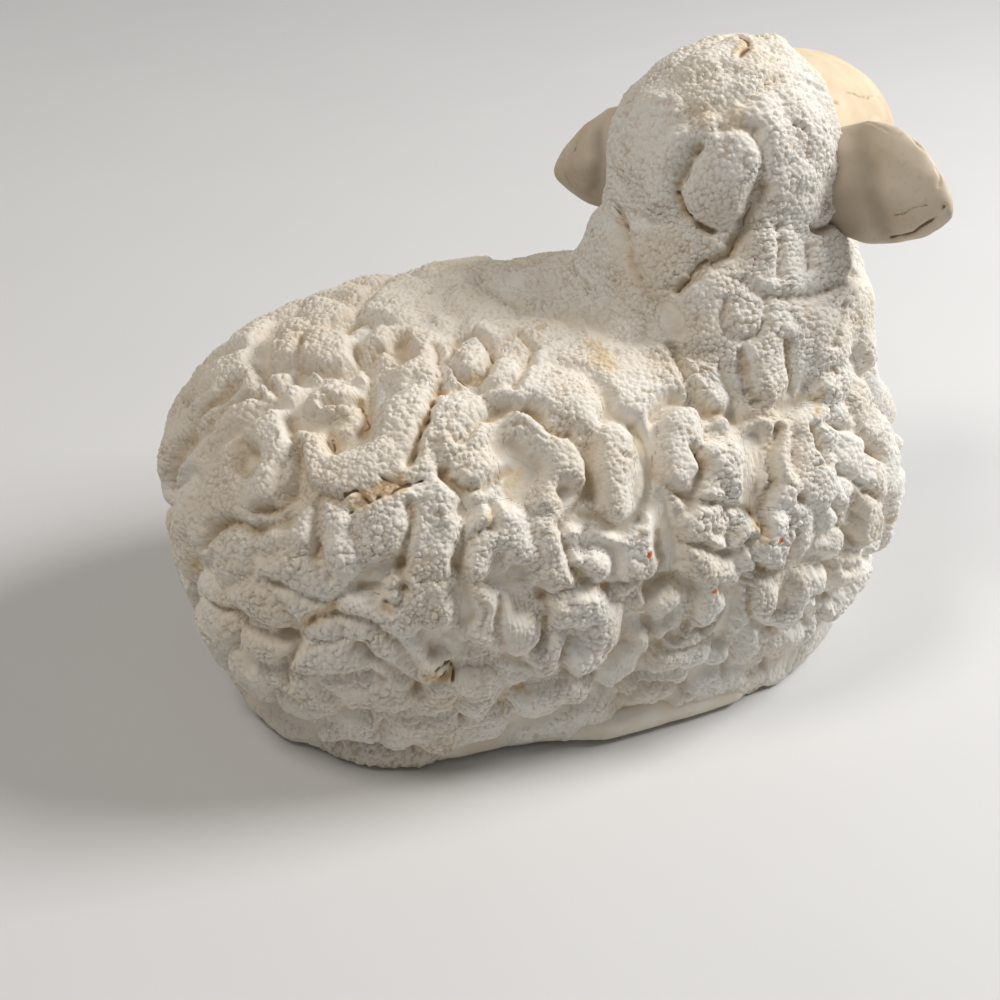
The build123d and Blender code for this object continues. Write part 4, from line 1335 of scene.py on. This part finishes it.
def slab_piece():
    """The slab: smooth lumps where the photograph shows it, and grainy slip elsewhere."""
    mesh, points, outward = smooth_mesh("base_slab", SLAB_VOXEL, SLAB_ROUNDS)
    fine, coarse_grain = grains(points)
    grainy = (1 - slab_shown(points)) * ramp(points[:, 2], *SLAB_GRAIN_BAND)
    grainy *= 1 - ramp(-np.hypot(points[:, 0] - VENT_X, points[:, 1]), *VENT_EDGE)
    lumpy = SLAB_LUMP_HEIGHT * value_noise(points, SLAB_LUMP_SIZE, 35)
    push = grainy * (GRAIN_HEIGHT * fine + SLAB_COARSE * coarse_grain + lumpy - SLAB_SINK)
    push += SLAB_WAVE_HEIGHT * value_noise(points, SLAB_WAVE_SIZE, 36)
    push += SLAB_BULGE * slab_shown(points) * ramp(points[:, 2], *SLAB_BULGE_BAND)
    rise = np.abs(outward[:, 2]) < SLAB_FLAT
    points += (push * rise)[:, None] * outward
    points[:, 2] = np.clip(points[:, 2], 0.0, SLAB_TOP)
    # Painted shade on the slab: darker towards the floor, and an even share of the warm painted shade
    low = ramp(-points[:, 2], *SLAB_FLOOR_SHADE_BAND)
    nothing = 0 * low
    put_values(mesh, points, {
        "wool": grainy, "shade_and_stain": SLAB_FLOOR_SHADE * low, "pit_shade": grainy * (1 - fine), "dark": nothing,
        "amber": nothing, "orange": nothing, "bare": nothing, "painted_warm_shade": nothing + SLAB_SHADE,
    })
    return new_object("base_form", mesh)


add_piece(slab_piece(), fleece, "base_clay", "base_slab")
add_piece(smooth_piece("left_ear", "ear_left", *EAR_FINISH, 7), ear_clay, "tan_clay", "ear_left")
add_piece(smooth_piece("right_ear", "ear_right", *EAR_FINISH, 9), ear_clay, "tan_clay", "ear_right")
add_piece(smooth_piece("left_eye", "eye_left", *EYE_FINISH, 13), eye_clay, "eye_clay", "eye_left")
add_piece(smooth_piece("right_eye", "eye_right", *EYE_FINISH, 15), eye_clay, "eye_clay", "eye_right")

# --- floor, light and background: metres and watts

FLOOR_SIZE = 15.0
FLOOR_LIGHT = (0.67, 0.67, 0.668)
FLOOR_DARK = (0.64, 0.64, 0.64)
SKY = (1.0, 0.985, 0.965, 1.0)
SKY_STRENGTH = 0.16
BACKDROP = (0.86, 0.86, 0.86, 1.0)
LAMP_AIM = (0, 0, 0.05)
# Name, place, size, power and tint of each lamp
LAMPS = (
    ("window", (0.66, -0.08, 0.64), 0.36, 8.4, (0.985, 0.98, 0.97)),
    ("fill", (-0.50, -0.05, 0.98), 0.34, 3.9, (1.0, 0.94, 0.86)),
)


def make_floor():
    bm = bmesh.new()
    bmesh.ops.create_grid(bm, x_segments=1, y_segments=1, size=FLOOR_SIZE)
    mesh = bpy.data.meshes.new("floor")
    bm.to_mesh(mesh)
    bm.free()
    n = Nodes("floor")
    colour = n.mix(n.noise(60, 2), FLOOR_LIGHT, FLOOR_DARK)
    floor = new_object("floor", mesh)
    floor.data.materials.append(n.finish(colour, 0.7, 0.2))


def make_lamp(name, place, size, power, tint):
    data = bpy.data.lights.new(name, "AREA")
    data.shape = "DISK"
    data.size = size
    data.energy = power
    data.color = tint
    lamp = bpy.data.objects.new(name, data)
    bpy.context.scene.collection.objects.link(lamp)
    lamp.location = place
    lamp.rotation_mode = "QUATERNION"
    lamp.rotation_quaternion = (Vector(LAMP_AIM) - Vector(place)).to_track_quat("-Z", "Y")


def make_world():
    world = bpy.data.worlds.new("studio")
    world.use_nodes = True
    tree = world.node_tree
    light = tree.nodes["Background"]
    light.inputs["Color"].default_value = SKY
    light.inputs["Strength"].default_value = SKY_STRENGTH
    shown = tree.nodes.new("ShaderNodeBackground")
    shown.inputs["Color"].default_value = BACKDROP
    path = tree.nodes.new("ShaderNodeLightPath")
    either = tree.nodes.new("ShaderNodeMath")
    either.operation = "MAXIMUM"
    tree.links.new(path.outputs["Is Camera Ray"], either.inputs[0])
    tree.links.new(path.outputs["Is Glossy Ray"], either.inputs[1])
    mix = tree.nodes.new("ShaderNodeMixShader")
    tree.links.new(either.outputs[0], mix.inputs[0])
    tree.links.new(light.outputs[0], mix.inputs[1])
    tree.links.new(shown.outputs[0], mix.inputs[2])
    tree.links.new(mix.outputs[0], tree.nodes["World Output"].inputs["Surface"])
    bpy.context.scene.world = world


make_floor()
for lamp in LAMPS:
    make_lamp(*lamp)
make_world()

bpy.context.scene.view_settings.view_transform = "Standard"
